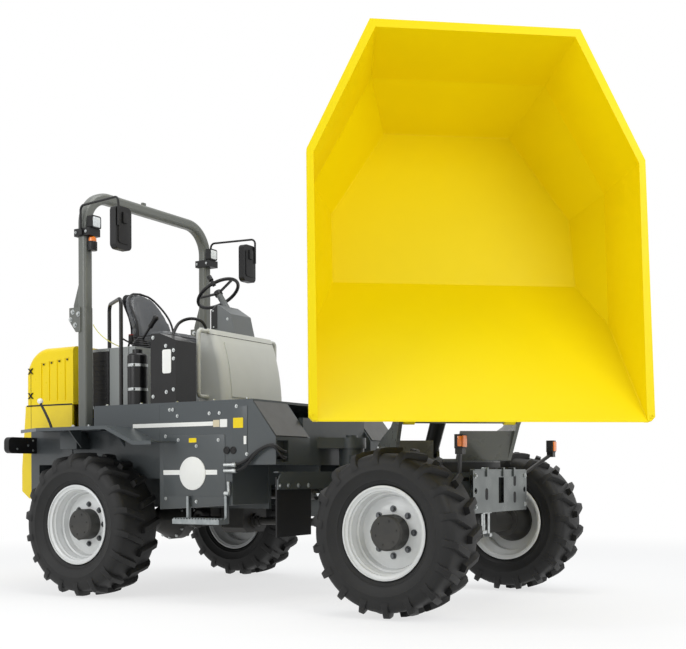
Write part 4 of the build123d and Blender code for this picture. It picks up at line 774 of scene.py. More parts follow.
# Acrylic lamp windows: red, amber and clear, glossy over fine flutes.
red_lens = lens("red_lens", "#8E1512", "#A82019")
amber_lens = lens("amber_lens", "#E8700C", "#F58A1C")
clear_lens = lens("clear_lens", "#E9ECEC", "#D6DADA")
low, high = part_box("tail_lamps")
back_x = low.x - AXLE_X
for name, finish, y0, y1, slot in (("red", red_lens, 0.760, 0.860, "amber_lens"),
                                   ("amber", amber_lens, 0.868, 0.950, "amber_lens")):
    form = bmesh.new()
    for side in (-1, 1):
        outline = oblong(min(side * y0, side * y1), max(side * y0, side * y1), 1.118, 1.202, 0.014)
        slab(form, outline, 0, back_x - 0.004, back_x + 0.002, edge=0.0015)
    fit("tail_window_" + name, mesh_of(form, name), finish, "rear_frame")
lamp_bolts = [((high.x - AXLE_X + 0.002, side * y, z), (1, 0, 0)) for side in (-1, 1)
              for y, z in ((0.74, 1.12), (0.74, 1.20), (0.79, 1.16), (0.90, 1.13))]
hex_bolts("tail_lamp_bolts", lamp_bolts, 0.007, 0.005, zinc_plate, "rear_frame")

# ---------------------------------------------------------------- engine hood
# One glass-fibre moulding in glossy yellow gel coat, with a rubber seal along its lower edge, a shut
# line at the rear, rubber latches shaped like a cross, and dark marks of painted shade in the open tops
# of its pressed louvres.
HOOD_Y = 0.700
HOOD_SEAL_Z = 1.489
# Polyester gel coat: clean, glossy, strong yellow.
gel_coat = sprayed("gel_coat", "#F6D800", "#EBCC00", 0.30, 0.0, coat=0.1, gloss=0.3)
# EPDM rubber: matt near-black strip.
seal_rubber = moulded("seal_rubber", "#131314", "#1C1C1D", 0.65, 0.005, 0.05)
dress(gel_coat, "hood")
form = bmesh.new()
for side in (-1, 1):
    near, far = sorted((side * (HOOD_Y - 0.002), side * (HOOD_Y + 0.0012)))
    brick(form, (-0.985, near, HOOD_SEAL_Z - 0.006), (-0.46, far, HOOD_SEAL_Z + 0.006))
    brick(form, (-0.9365, near, TAIL_SEAM_Z), (-0.9335, far, 1.80))
    # Four small dark marks stand for the open tops of the pressed louvres: painted shade, in the seal
    # rubber's black.
    for number in range(4):
        x = -0.517 - 0.090 * number
        brick(form, (x - 0.008, near, 1.845 - 0.009 * number),
              (x + 0.008, far, 1.858 - 0.009 * number))
brick(form, (-1.0012, -0.64, HOOD_SEAL_Z - 0.005), (-0.998, 0.64, HOOD_SEAL_Z + 0.005))
fit("hood_seals_and_louvre_shade", mesh_of(form, "hood_seals_and_louvre_shade"), seal_rubber, "hood")
form = bmesh.new()
for side in (-1, 1):
    near, far = sorted((side * (HOOD_Y - 0.001), side * (HOOD_Y + 0.010)))
    for z in (1.775, 1.572):
        for lean in (-1, 1):
            reach = 0.024
            bar = [(-0.9345 + lean * reach - 0.005, z + reach),
                   (-0.9345 + lean * reach + 0.005, z + reach),
                   (-0.9345 - lean * reach + 0.005, z - reach),
                   (-0.9345 - lean * reach - 0.005, z - reach)]
            slab(form, bar, 1, near, far, edge=0.0015)
fit("hood_latches", mesh_of(form, "hood_latches"), seal_rubber, "hood")

# ---------------------------------------------------------------- roll-over hoop
# Bent steel tube that folds back on two pins, sprayed in a warm satin grey, with bolted foot
# plates; clamps carry mirrors, work lamps and a small beacon.
HOOP_X, HOOP_Y, HOOP_PIN = -0.280, 0.730, (-0.360, 2.210)
# Satin warm-grey enamel on bent tube.
hoop_enamel = sprayed("hoop_enamel", "#676964", "#5D5F5A", 0.36, 0.0)
dress(hoop_enamel, "rops_posts", "rops_hoop")
dress(black_abs, "mirror_arms", "mirrors", "work_lamps")
hinge_bolts = []
for side in (-1, 1):
    for face in (-1, 1):
        y = side * HOOP_Y + face * 0.0565
        for x, z in (HOOP_PIN, (-0.383, 2.150), (-0.335, 2.105), (-0.300, 2.190)):
            hinge_bolts.append(((x, y, z), (0, face, 0)))
hex_bolts("hinge_bolts", hinge_bolts, 0.014, 0.012, zinc_plate, "rear_frame")
foot_bolts = [((HOOP_X + dx, side * HOOP_Y + dy, 1.302), (0, 0, 1)) for side in (-1, 1)
              for dx in (-0.088, 0.088) for dy in (-0.048, 0.048)]
hex_bolts("hoop_foot_bolts", foot_bolts, 0.013, 0.012, zinc_plate, "rear_frame")
clamp_bolts = [((HOOP_X + dx, side * HOOP_Y + face * 0.0615, z), (0, face, 0)) for side in (-1, 1)
               for face in (-1, 1) for dx, z in ((-0.04, 2.835), (0.07, 2.835))]
hex_bolts("clamp_bolts", clamp_bolts, 0.008, 0.007, zinc_plate, "rops")

form = bmesh.new()
glasses = bmesh.new()
low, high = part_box("mirrors")
for side in (-1, 1):
    inner, outer = high.y - AXLE_Y - 0.170, high.y - AXLE_Y
    y0, y1 = sorted((side * inner, side * outer))
    glass = oblong(y0 + 0.012, y1 - 0.012, low.z + 0.014, high.z - 0.014, 0.035)
    slab(glasses, glass, 0, low.x - AXLE_X - 0.0015, low.x - AXLE_X + 0.001)
    middle = (y0 + y1) / 2
    brick(form, (high.x - AXLE_X - 0.004, middle - 0.022, 2.845),
          (high.x - AXLE_X + 0.020, middle + 0.022, 2.930), edge=0.006)
    plate = oblong(middle - 0.060, middle + 0.060, low.z + 0.045, high.z - 0.045, 0.03)
    slab(form, plate, 0, high.x - AXLE_X - 0.002, high.x - AXLE_X + 0.006, edge=0.003)
fit("mirror_brackets", mesh_of(form, "mirror_brackets"), black_abs, "rops")
# Silvered glass: a clean mirror, faintly grey.
mirror_glass = bright_metal("mirror_glass", "#DDE2E4", "#D5DADC", 0.06, 0.2)
fit("mirror_glasses", mesh_of(glasses, "mirror_glasses"), mirror_glass, "rops")

low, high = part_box("work_lamps")
form = bmesh.new()
rims = bmesh.new()
for side in (-1, 1):
    y0, y1 = sorted((side * (HOOP_Y - 0.060), side * (HOOP_Y + 0.040)))
    slab(form, oblong(y0 + 0.011, y1 - 0.011, low.z + 0.011, high.z - 0.011, 0.012), 0,
         high.x - AXLE_X - 0.001, high.x - AXLE_X + 0.002, edge=0.001)
    for number in range(5):
        x = low.x - AXLE_X - 0.010
        z = low.z + 0.018 + 0.016 * number
        brick(rims, (x, y0 + 0.014, z), (x + 0.014, y1 - 0.014, z + 0.006), edge=0.001)
fit("work_lamp_windows", mesh_of(form, "work_lamp_windows"), clear_lens, "rops")
fit("work_lamp_fins", mesh_of(rims, "work_lamp_fins"), black_abs, "rops")

beacon_place = Matrix.Translation((HOOP_X + 0.082, -HOOP_Y, 2.690))
form = bmesh.new()
turned(form, [(0.0, 0.0), (0.034, 0.0), (0.036, 0.006), (0.036, 0.066), (0.031, 0.072), (0.0, 0.072)],
       beacon_place, 28)
brick(form, (HOOP_X + 0.040, -HOOP_Y - 0.020, 2.735), (HOOP_X + 0.060, -HOOP_Y + 0.020, 2.806),
      edge=0.003)
fit("beacon_base", mesh_of(form, "beacon_base"), black_abs, "rops")
form = bmesh.new()
turned(form, [(0.0, 0.070), (0.029, 0.070), (0.031, 0.080), (0.029, 0.100), (0.020, 0.110),
              (0.0, 0.112)], beacon_place, 28)
fit("beacon_window", mesh_of(form, "beacon_window"), amber_lens, "rops")
form = bmesh.new()
brick(form, (HOOP_X - 0.012, -0.085, 3.196), (HOOP_X + 0.012, -0.045, 3.225), edge=0.005)
fit("hoop_eye", mesh_of(form, "hoop_eye"), hoop_enamel, "rops")

# ---------------------------------------------------------------- steps
# Folded galvanised steps under the side tanks, their treads punched with a row of teeth.
STEP_TOP = 0.600
# Hot-dip galvanised steel: blotched mid grey, half bright.
galvanised = bright_metal("galvanised", "#A3A8A8", "#868C8D", 0.34, 0.035)
dress(galvanised, "steps")


def grip_tree():
    """Small raised teeth on a grid of points."""
    tree = bpy.data.node_groups.new("grip_teeth", "GeometryNodeTree")
    tree.interface.new_socket("Tread", in_out="INPUT", socket_type="NodeSocketGeometry")
    tree.interface.new_socket("Tooth", in_out="INPUT", socket_type="NodeSocketVector")
    tree.interface.new_socket("Finish", in_out="INPUT", socket_type="NodeSocketMaterial")
    tree.interface.new_socket("Teeth", in_out="OUTPUT", socket_type="NodeSocketGeometry")
    given = add(tree, "NodeGroupInput")
    tooth = add(tree, "GeometryNodeMeshCube", {}, {"Size": given.outputs["Tooth"]})
    spread = add(tree, "GeometryNodeInstanceOnPoints", {},
                 {"Points": given.outputs["Tread"], "Instance": tooth.outputs["Mesh"]})
    whole = add(tree, "GeometryNodeRealizeInstances", {}, {0: spread.outputs[0]})
    coated = add(tree, "GeometryNodeSetMaterial", {},
                 {"Geometry": whole.outputs[0], "Material": given.outputs["Finish"]})
    result = add(tree, "NodeGroupOutput")
    tree.links.new(coated.outputs[0], result.inputs[0])
    return tree


mesh = bpy.data.meshes.new("step_teeth")
mesh.from_pydata([(0.875 + 0.0262 * k, side * y, STEP_TOP + 0.003) for k in range(16)
                  for side in (-1, 1) for y in (0.915, 0.957, 0.998)], [], [])
teeth = plain_object("step_teeth", mesh)
nodes = teeth.modifiers.new("teeth", "NODES")
nodes.node_group = grip_tree()
give(nodes, {"Tooth": (0.012, 0.016, 0.008), "Finish": galvanised})
fit("step_teeth", settled(teeth), None, "rear_frame")

# ---------------------------------------------------------------- cabinet under the seat
# Sheet-steel cabinet in light grey enamel with a black louvred panel, and the seat's black base.
CABINET_Y = 0.600
# Light grey enamel on thin sheet: smooth and clean.
cabinet_enamel = sprayed("cabinet_enamel", "#949795", "#898C8A", 0.40, 0.0)
dress(cabinet_enamel, "seat_box")
dress(black_enamel, "seat_base", "control_box", "canister", "grab_rail")
form = bmesh.new()
for side in (-1, 1):
    near, far = sorted((side * (CABINET_Y - 0.001), side * (CABINET_Y + 0.010)))
    brick(form, (-0.322, near, 1.470), (-0.152, far, 1.905), edge=0.004)
    near, far = sorted((side * (CABINET_Y + 0.009), side * (CABINET_Y + 0.013)))
    for number in range(9):
        z = 1.52 + 0.038 * number
        brick(form, (-0.300, near, z), (-0.175, far, z + 0.014), edge=0.0015)
fit("cabinet_vents", mesh_of(form, "cabinet_vents"), black_abs, "rear_frame")
form = bmesh.new()
for side in (-1, 1):
    near, far = sorted((side * (CABINET_Y - 0.001), side * (CABINET_Y + 0.002)))
    brick(form, (-0.1515, near, 1.46), (-0.1485, far, 1.925))
    brick(form, (0.055, near, 1.46), (0.058, far, 1.925))
fit("cabinet_joints", mesh_of(form, "cabinet_joints"), seal_rubber, "rear_frame")

# ---------------------------------------------------------------- operator's seat
# Foam cushion and high-winged back under welded vinyl with a piped edge, on a black shell.
CUSHION = ((-0.262, -0.228, 2.006), (0.112, 0.228, 2.082))
BACK_Z = (2.010, 2.470)
BACK_Y = 0.222
BACK_FOOT_X = -0.272          # crease between the cushion and the back
BACK_LEAN = 0.115
WING = 0.105                  # how far the wings reach forward
PAD_VOXEL = 0.0065
# Welded PVC seat cover, with black vinyl piping: dark, slightly shiny where it curves.
seat_vinyl = moulded("seat_vinyl", "#55575A", "#4B4D50", 0.30, 0.003, 0.12, gloss=0.5)
piping_vinyl = moulded("piping_vinyl", "#1A1A1B", "#232324", 0.40, 0.003, 0.05)


def remeshed(mesh):
    """The mesh as even voxels, which cloth needs."""
    made = plain_object("pad", mesh)
    even = made.modifiers.new("even", "REMESH")
    even.mode = "VOXEL"
    even.voxel_size = PAD_VOXEL
    return settled(made)


def blown(mesh, most):
    """The pad's cover filled out by its foam; no point moves further than most."""
    mesh = remeshed(mesh)
    before = [v.co.copy() for v in mesh.vertices]
    made = plain_object("pad", mesh)
    cloth = made.modifiers.new("cover", "CLOTH")
    cloth.settings.quality = 6
    cloth.settings.use_pressure = True
    cloth.settings.uniform_pressure_force = 4.0
    cloth.settings.effector_weights.gravity = 0.0
    cloth.point_cache.frame_start, cloth.point_cache.frame_end = 1, 20
    for moment in range(1, 21):
        bpy.context.scene.frame_set(moment)
    mesh = settled(made)
    bpy.context.scene.frame_set(1)
    for vertex, start in zip(mesh.vertices, before):
        moved = vertex.co - start
        if moved.length > most:
            vertex.co = start + moved.normalized() * most
    made = plain_object("pad", mesh)
    smooth = made.modifiers.new("even", "SMOOTH")
    smooth.factor = 0.5
    smooth.iterations = 6
    finer = made.modifiers.new("finer", "SUBSURF")
    finer.levels = finer.render_levels = 1
    return settled(made)


def back_point(u, v):
    """The back's front face: u from side to side (-1 to 1), v from the crease to the top (0 to 1)."""
    shrink = max(0.0, (v - 0.40) / 0.60)
    half = BACK_Y * (1 - shrink ** 2.6) ** (1 / 2.6)
    bulge = 0.55 + 0.45 * math.sin(math.pi * min(1.0, v * 1.15))
    wing = WING * abs(u) ** 2.6 * bulge * (1 - v ** 3)
    belly = 0.020 * math.sin(math.pi * v) * (1 - u * u)
    return Vector((BACK_FOOT_X - BACK_LEAN * v + wing + belly, u * half,
                   BACK_Z[0] + (BACK_Z[1] - BACK_Z[0]) * v))


def back_sheet(shift, thick, steps=26):
    """A closed sheet along the back's face, its front pushed forward by shift."""
    form = bmesh.new()
    grids = []
    for depth in (shift, shift - thick):
        grids.append([[form.verts.new(back_point(-1 + 2 * a / steps, b / steps) + Vector((depth, 0, 0)))
                       for a in range(steps + 1)] for b in range(steps + 1)])
    for grid in grids:
        for b in range(steps):
            for a in range(steps):
                form.faces.new((grid[b][a], grid[b][a + 1], grid[b + 1][a + 1], grid[b + 1][a]))
    near, far = grids
    rim = [(0, a) for a in range(steps)] + [(b, steps) for b in range(steps)]
    rim += [(steps, a) for a in range(steps, 0, -1)] + [(b, 0) for b in range(steps, 0, -1)]
    for (b, a), (d, c) in zip(rim, rim[1:] + rim[:1]):
        form.faces.new((near[b][a], near[d][c], far[d][c], far[b][a]))
    return mesh_of(form, "back_sheet")


form = bmesh.new()
brick(form, *CUSHION, edge=0.030)
middle_x = (CUSHION[0][0] + CUSHION[1][0]) / 2
for vertex in form.verts:
    u = (vertex.co.x - middle_x) / 0.187
    w = vertex.co.y / 0.228
    vertex.co.y *= 1 - 0.06 * u * u
    vertex.co.x = middle_x + (vertex.co.x - middle_x) * (1 - 0.05 * w * w)
cushion = fit("seat_cushion_pad", blown(mesh_of(form, "seat_cushion_pad"), 0.024), seat_vinyl,
              "rear_frame", crease=60)
back = fit("seat_back_pad", blown(back_sheet(-0.006, 0.054), 0.022), seat_vinyl, "rear_frame",
           crease=60)
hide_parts("seat_cushion")
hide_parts("seat_back")


def bead_tree():
    """A round bead along every edge of a wire mesh."""
    tree = bpy.data.node_groups.new("bead", "GeometryNodeTree")
    tree.interface.new_socket("Line", in_out="INPUT", socket_type="NodeSocketGeometry")
    tree.interface.new_socket("Bead radius", in_out="INPUT", socket_type="NodeSocketFloat")
    tree.interface.new_socket("Finish", in_out="INPUT", socket_type="NodeSocketMaterial")
    tree.interface.new_socket("Bead", in_out="OUTPUT", socket_type="NodeSocketGeometry")
    given = add(tree, "NodeGroupInput")
    line = add(tree, "GeometryNodeMeshToCurve", {}, {0: given.outputs["Line"]})
    round_ = add(tree, "GeometryNodeCurvePrimitiveCircle", {"Resolution": 8},
                 {"Radius": given.outputs["Bead radius"]})
    swept = add(tree, "GeometryNodeCurveToMesh", {"Fill Caps": True},
                {"Curve": line.outputs[0], "Profile Curve": round_.outputs["Curve"]})
    coated = add(tree, "GeometryNodeSetMaterial", {},
                 {"Geometry": swept.outputs[0], "Material": given.outputs["Finish"]})
    result = add(tree, "NodeGroupOutput")
    tree.links.new(coated.outputs[0], result.inputs[0])
    return tree


BEAD = bead_tree()


def wires(lines, closed=False):
    """Lines of points as a mesh of edges."""
    points, edges = [], []
    for line in lines:
        first = len(points)
        points += [tuple(point) for point in line]
        edges += [(first + k, first + k + 1) for k in range(len(line) - 1)]
        if closed:
            edges.append((len(points) - 1, first))
    mesh = bpy.data.meshes.new("wires")
    mesh.from_pydata(points, edges, [])
    return mesh


def outline_at(node, spot, across):
    """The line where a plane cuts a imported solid, in the model's frame, as wires."""
    form = bmesh.new()
    form.from_mesh(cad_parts[node].data)
    bmesh.ops.remove_doubles(form, verts=form.verts, dist=1e-5)
    cut = bmesh.ops.bisect_plane(form, geom=form.verts[:] + form.edges[:] + form.faces[:], dist=1e-6,
                                 plane_co=spot, plane_no=across)["geom_cut"]
    kept = {item for item in cut if isinstance(item, bmesh.types.BMEdge)}
    bmesh.ops.delete(form, geom=[edge for edge in form.edges if edge not in kept],
                     context="EDGES_FACES")
    bmesh.ops.delete(form, geom=[v for v in form.verts if not v.link_edges], context="VERTS")
    mesh = bpy.data.meshes.new("outline")
    form.to_mesh(mesh)
    form.free()
    return mesh


def bead(name, line, radius, finish, body, place=MACHINE):
    """A piping, seam or weld bead along wires, as one piece."""
    made = plain_object(name, line)
    nodes = made.modifiers.new("bead", "NODES")
    nodes.node_group = BEAD
    give(nodes, {"Bead radius": radius, "Finish": finish})
    return fit(name, settled(made), None, body, place, crease=60)


rim_line = [back_point(1, v / 40) for v in range(41)]
rim_line += [back_point(-1, v / 40) for v in range(39, -1, -1)]
piping_line = [Vector((p.x + 0.002, p.y * 0.985, p.z - 0.002)) for p in rim_line]
bead("seat_back_piping", wires([piping_line]), 0.009, piping_vinyl, "rear_frame")
low, high = CUSHION
ring = oblong(low[0] - 0.006, high[0] + 0.006, low[1] - 0.006, high[1] + 0.006, 0.05)
bead("seat_cushion_piping", wires([[(x, y, high[2] - 0.018) for x, y in ring]], closed=True), 0.005,
     piping_vinyl, "rear_frame")
shell_form = back_sheet(-0.068, 0.008)
fit("seat_shell", shell_form, black_abs, "rear_frame", crease=50)

# Seat belt's buckle on its stalk and the slide lever; its button is red plastic.
belt_red = moulded("belt_red", "#8A2018", "#771A13", 0.45, 0.003, 0.03)
form = bmesh.new()
brick(form, (-0.252, -0.282, 2.020), (-0.212, -0.262, 2.075), edge=0.004)
belt_parts = [mesh_of(form, "buckle"), rod((-0.27, -0.262, 1.985), (-0.245, -0.270, 2.03), 0.008),
              tube([(-0.20, -0.250, 2.00), (-0.24, -0.285, 2.01), (-0.31, -0.300, 2.055)], 0.007)]
fit("belt_buckle", merged(belt_parts, "belt_buckle"), black_abs, "rear_frame")
form = bmesh.new()
brick(form, (-0.248, -0.284, 2.072), (-0.216, -0.260, 2.084), edge=0.003)
fit("belt_button", mesh_of(form, "belt_button"), belt_red, "rear_frame")

# ---------------------------------------------------------------- steering cowl and pod
# Tall cover moulded in light grey ABS with a shut line under its lid; the pod on it is darker
# and carries dials and rocker switches.  The grab loops at its corners match the cover.
# Light grey and mid grey ABS: pale, even, half matt.
cowl_abs = moulded("cowl_abs", "#CFD0CB", "#C5C6C1", 0.42, 0.004, 0.03)
pod_abs = moulded("pod_abs", "#707374", "#66696A", 0.46, 0.004, 0.05)
dress(cowl_abs, "cowl", "cowl_loops")
dress(pod_abs, "dash_pod")
seam_spot = at(0.654, 0.0, 2.018)
seam = outline_at("cowl", seam_spot, Vector((0.20, 0, 1)))
bead("cowl_seam", seam, 0.0022, seal_rubber, "rear_frame", Matrix.Identity(4))
pod_bolts = [((x, side * 0.131, z), (0, side, 0)) for side in (-1, 1)
             for x, z in ((0.525, 2.235), (0.530, 2.105), (0.668, 2.160))]
hex_bolts("pod_screws", pod_bolts, 0.008, 0.005, zinc_plate, "rear_frame")
form = bmesh.new()
slab(form, oblong(-0.118, 0.118, 2.092, 2.232, 0.012), 0, 0.494, 0.501, edge=0.002)
for side in (-1, 1):
    near, far = sorted((side * 0.129, side * 0.1325))
    slab(form, [(0.503, 2.087), (0.565, 2.090), (0.565, 2.283), (0.503, 2.236)], 1, near, far)
fit("dial_board", mesh_of(form, "dial_board"), black_abs, "rear_frame")
form = bmesh.new()
glass_form = bmesh.new()
for y in (-0.058, 0.058):
    place = Matrix.Translation((0.495, y, 2.180)) @ turned_to((-1, 0, 0))
    turned(form, [(0.036, 0.0), (0.042, 0.0), (0.042, 0.006), (0.036, 0.006)], place, 32)
    turned(glass_form, [(0.0, 0.0), (0.036, 0.0), (0.036, 0.003), (0.0, 0.003)], place, 32)
for k in range(5):
    y = -0.080 + 0.040 * k
    brick(form, (0.488, y - 0.012, 2.102), (0.496, y + 0.012, 2.128), edge=0.002)
fit("dial_rings", mesh_of(form, "dial_rings"), zinc_plate, "rear_frame")
fit("dial_glasses", mesh_of(glass_form, "dial_glasses"), white_film, "rear_frame")
dress(black_abs, "steering_wheel")

# Bent black hand rail between the console and the cowl.
rail = tube([(0.520, -0.620, 1.965), (0.505, -0.560, 2.060), (0.520, -0.500, 2.115),
             (0.600, -0.470, 2.130), (0.660, -0.410, 2.105), (0.660, -0.385, 2.050)], 0.012, order=3)
fit("console_rail", rail, black_enamel, "rear_frame")

# ---------------------------------------------------------------- control console
# Black sheet-steel console with plated screws and a blank label; a black reservoir stands in
# plated bands behind it, and the joystick in its pleated gaiter stands on the cabinet.
console_bolts = [((x, -0.842, z), (0, -1, 0)) for x, z in
                 ((0.655, 1.872), (0.730, 1.835), (0.730, 1.774), (0.728, 1.546), (0.660, 1.530),
                  (0.530, 1.940), (0.530, 1.500))]
hex_bolts("console_screws", console_bolts, 0.010, 0.006, zinc_plate, "rear_frame")
form = bmesh.new()
label = eased([(0.622, 1.668), (0.706, 1.668), (0.706, 1.845), (0.622, 1.845)], 0.018)
slab(form, label, 1, -0.8425, -0.839)
fit("console_label", mesh_of(form, "console_label"), white_film, "rear_frame")
STICK = (0.044, -0.450, 1.9305)
pleats = [(0.0, 0.0), (0.078, 0.0), (0.082, 0.006), (0.078, 0.012), (0.064, 0.016), (0.073, 0.023),
          (0.070, 0.030), (0.055, 0.034), (0.063, 0.041), (0.059, 0.048), (0.044, 0.052),
          (0.051, 0.059), (0.046, 0.066), (0.030, 0.070), (0.034, 0.077), (0.020, 0.090), (0.0, 0.093)]
form = bmesh.new()
turned(form, pleats, Matrix.Translation(STICK), 40)
stalk = Vector((0.66, 0, 0.75)).normalized()
foot = Vector(STICK) + Vector((0.020, 0, 0.075))
turned(form, [(0.0, 0.0), (0.010, 0.0), (0.010, 0.120), (0.0, 0.120)],
       Matrix.Translation(foot) @ turned_to(stalk), 20)
grip_line = [(0.0, 0.0), (0.016, 0.003), (0.021, 0.018), (0.018, 0.045), (0.021, 0.078),
             (0.026, 0.100), (0.019, 0.115), (0.0, 0.118)]
turned(form, grip_line, Matrix.Translation(foot + stalk * 0.112) @ turned_to(stalk), 28)
stick = fit("joystick", mesh_of(form, "joystick"), black_abs, "rear_frame", crease=60)
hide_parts("control_lever")

low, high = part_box("canister")
middle = (low + high) / 2
hub = Matrix.Translation((middle.x - AXLE_X, middle.y - AXLE_Y, 0))
radius = (high.y - low.y) / 2
form = bmesh.new()
for z in (1.560, 1.745):
    turned(form, [(radius - 0.001, z), (radius + 0.003, z), (radius + 0.003, z + 0.022),
                  (radius - 0.001, z + 0.022)], hub, 40)
    brick(form, (middle.x - AXLE_X + 0.01, low.y - AXLE_Y - 0.013, z + 0.002),
          (middle.x - AXLE_X + 0.04, low.y - AXLE_Y + 0.006, z + 0.020), edge=0.003)
fit("canister_bands", mesh_of(form, "canister_bands"), zinc_plate, "rear_frame")

# A thin yellowish cable, held at the post and at the cabinet.
cable_film = moulded("cable_sheath", "#D9D36A", "#C9C35C", 0.5, 0.003, 0.02)
cable = tube([(-0.236, -0.690, 2.112), (-0.190, -0.700, 2.060), (-0.110, -0.705, 2.000),
              (-0.045, -0.700, 1.962), (-0.020, -0.640, 1.935), (-0.015, -0.598, 1.925)],
             0.0035, sides=3)
fit("post_cable", cable, cable_film, "rear_frame")

# ---------------------------------------------------------------- front frame
# Welded box of heavy plate with the steering knuckle behind, sprayed as the rear frame; the
# galvanised nose plate, mud guards and their rubber flaps are bolted on.
GUARD_FACE_X = 1.878
dress(frame_enamel, "front_chassis", "mud_guards")
# Galvanised plate, dulled outdoors: clouded grey metal.
nose_steel = bright_metal("nose_steel", "#7A7E7C", "#6C706F", 0.26, 0.12)
dress(nose_steel, "front_plate")
# Reinforced sheet rubber: matt black.
flap_rubber = moulded("flap_rubber", "#101011", "#181819", 0.62, 0.006, 0.08)
dress(flap_rubber, "mud_flaps")
guard_bolts = [((GUARD_FACE_X - 0.013, side * y, 0.840), (-1, 0, 0)) for side in (-1, 1)
               for y in (0.789, 0.909, 1.025, 1.120)]
guard_bolts += [((GUARD_FACE_X + 0.0125, side * y, 0.840), (1, 0, 0)) for side in (-1, 1)
                for y in (0.789, 0.909, 1.025, 1.120)]
hex_bolts("guard_bolts", guard_bolts, 0.012, 0.008, zinc_plate, "front_frame")
form = bmesh.new()
for side in (-1, 1):
    near, far = sorted((side * 0.300, side * 1.135))
    brick(form, (GUARD_FACE_X - 0.030, near, 0.926), (GUARD_FACE_X + 0.010, far, 0.934), edge=0.002)
fit("guard_folds", mesh_of(form, "guard_folds"), frame_enamel, "front_frame")

low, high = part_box("front_plate")
face = high.x - AXLE_X
form = bmesh.new()
brick(form, (face - 0.035, -0.44, high.z - 0.006), (face + 0.002, 0.44, high.z + 0.006), edge=0.002)
for y in (-0.245, 0.03, 0.215):
    brick(form, (face - 0.034, y - 0.014, high.z - 0.045), (face + 0.010, y + 0.014, high.z + 0.018),
          edge=0.003)
fit("nose_tabs", mesh_of(form, "nose_tabs"), nose_steel, "front_frame")
form = bmesh.new()
# Three dark ovals on the plate's face are painted shade: they stand for the shaded insides of its
# slots.
for y, z in ((0.240, 0.865), (0.240, 0.745), (-0.245, 0.775)):
    slab(form, oblong(y - 0.021, y + 0.021, z - 0.040, z + 0.040, 0.020), 0, face - 0.002, face + 0.001)
fit("nose_slots", mesh_of(form, "nose_slots"), seal_rubber, "front_frame")
nose_bolts = [((face + 0.002, y, z), (1, 0, 0)) for y in (-0.425, 0.425) for z in (0.690, 0.900)]
hex_bolts("nose_bolts", nose_bolts, 0.012, 0.009, zinc_plate, "front_frame")
pipes = [rod((2.935, -0.118, 0.652), (2.935, -0.118, 0.500), 0.013),
         rod((2.925, -0.205, 0.652), (2.925, -0.205, 0.515), 0.011),
         rod((2.925, -0.172, 0.652), (2.925, -0.172, 0.515), 0.011)]
form = bmesh.new()
brick(form, (2.905, -0.225, 0.500), (2.945, -0.150, 0.524), edge=0.004)
brick(form, (2.912, -0.140, 0.478), (2.958, -0.096, 0.502), edge=0.006)
brick(form, (2.890, -0.235, 0.640), (2.950, -0.085, 0.664), edge=0.004)
fit("nose_pipes", merged(pipes + [mesh_of(form, "clamps")], "nose_pipes"), zinc_plate, "front_frame")

# ---------------------------------------------------------------- direction indicators
# Black plastic bodies on bent steel arms with moulded amber windows.
dress(black_enamel, "indicator_arms")
dress(black_abs, "indicator_lamps")
low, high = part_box("indicator_lamps")
front_x, back_x = high.x - AXLE_X, low.x - AXLE_X
form = bmesh.new()
for side in (-1, 1):
    y0, y1 = sorted((side * 0.762, side * 0.818))
    brick(form, (front_x - 0.030, y0, low.z + 0.008), (front_x + 0.006, y1, high.z - 0.008),
          edge=0.006)
    near, far = sorted((side * 0.815, side * 0.829))
    brick(form, (back_x + 0.028, near, low.z + 0.012), (front_x - 0.004, far, high.z - 0.012),
          edge=0.004)
fit("indicator_windows", mesh_of(form, "indicator_windows"), amber_lens, "front_frame")

# ---------------------------------------------------------------- swivel console
# Slewing ring in grey primer, bolted down with a ring of screws, under a welded turret of thick
# plate in glossy warm grey.  The turret is turned to the right from straight ahead.
SWIVEL_REST = -53             # degrees
RING_BOLTS = 28
RING_CIRCLE = 0.395
# Glossy warm-grey enamel on welded plate.
turret_enamel = sprayed("turret_enamel", "#626460", "#575954", 0.28, 0.15)
dress(cast_grey, "turntable")
dress(turret_enamel, "swivel_console")
low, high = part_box("turntable")
swivel_x = (low.x + high.x) / 2 - AXLE_X
SWIVEL = MACHINE @ Matrix.Translation((swivel_x, 0, 0))
CONSOLE = SWIVEL @ Matrix.Rotation(math.radians(SWIVEL_REST), 4, "Z")
ring_bolts = [((RING_CIRCLE * math.cos(a), RING_CIRCLE * math.sin(a), high.z + 0.002), (0, 0, 1))
              for a in [2 * math.pi * k / RING_BOLTS for k in range(RING_BOLTS)]]
hex_bolts("ring_bolts", ring_bolts, 0.011, 0.010, zinc_plate, "front_frame", SWIVEL)
form = bmesh.new()
for side in (-1, 1):
    place = Matrix.Translation((0.710, side * 0.404, 1.295)) @ turned_to((0, side, 0))
    turned(form, [(0.0, 0.0), (0.058, 0.0), (0.058, 0.005), (0.052, 0.008), (0.0, 0.008)], place, 36)
    place = Matrix.Translation((-0.450, side * 0.404, 1.080)) @ turned_to((0, side, 0))
    turned(form, [(0.0, 0.0), (0.045, 0.0), (0.045, 0.005), (0.040, 0.008), (0.0, 0.008)], place, 36)
fit("hinge_caps", mesh_of(form, "hinge_caps"), zinc_plate, "swivel", CONSOLE)
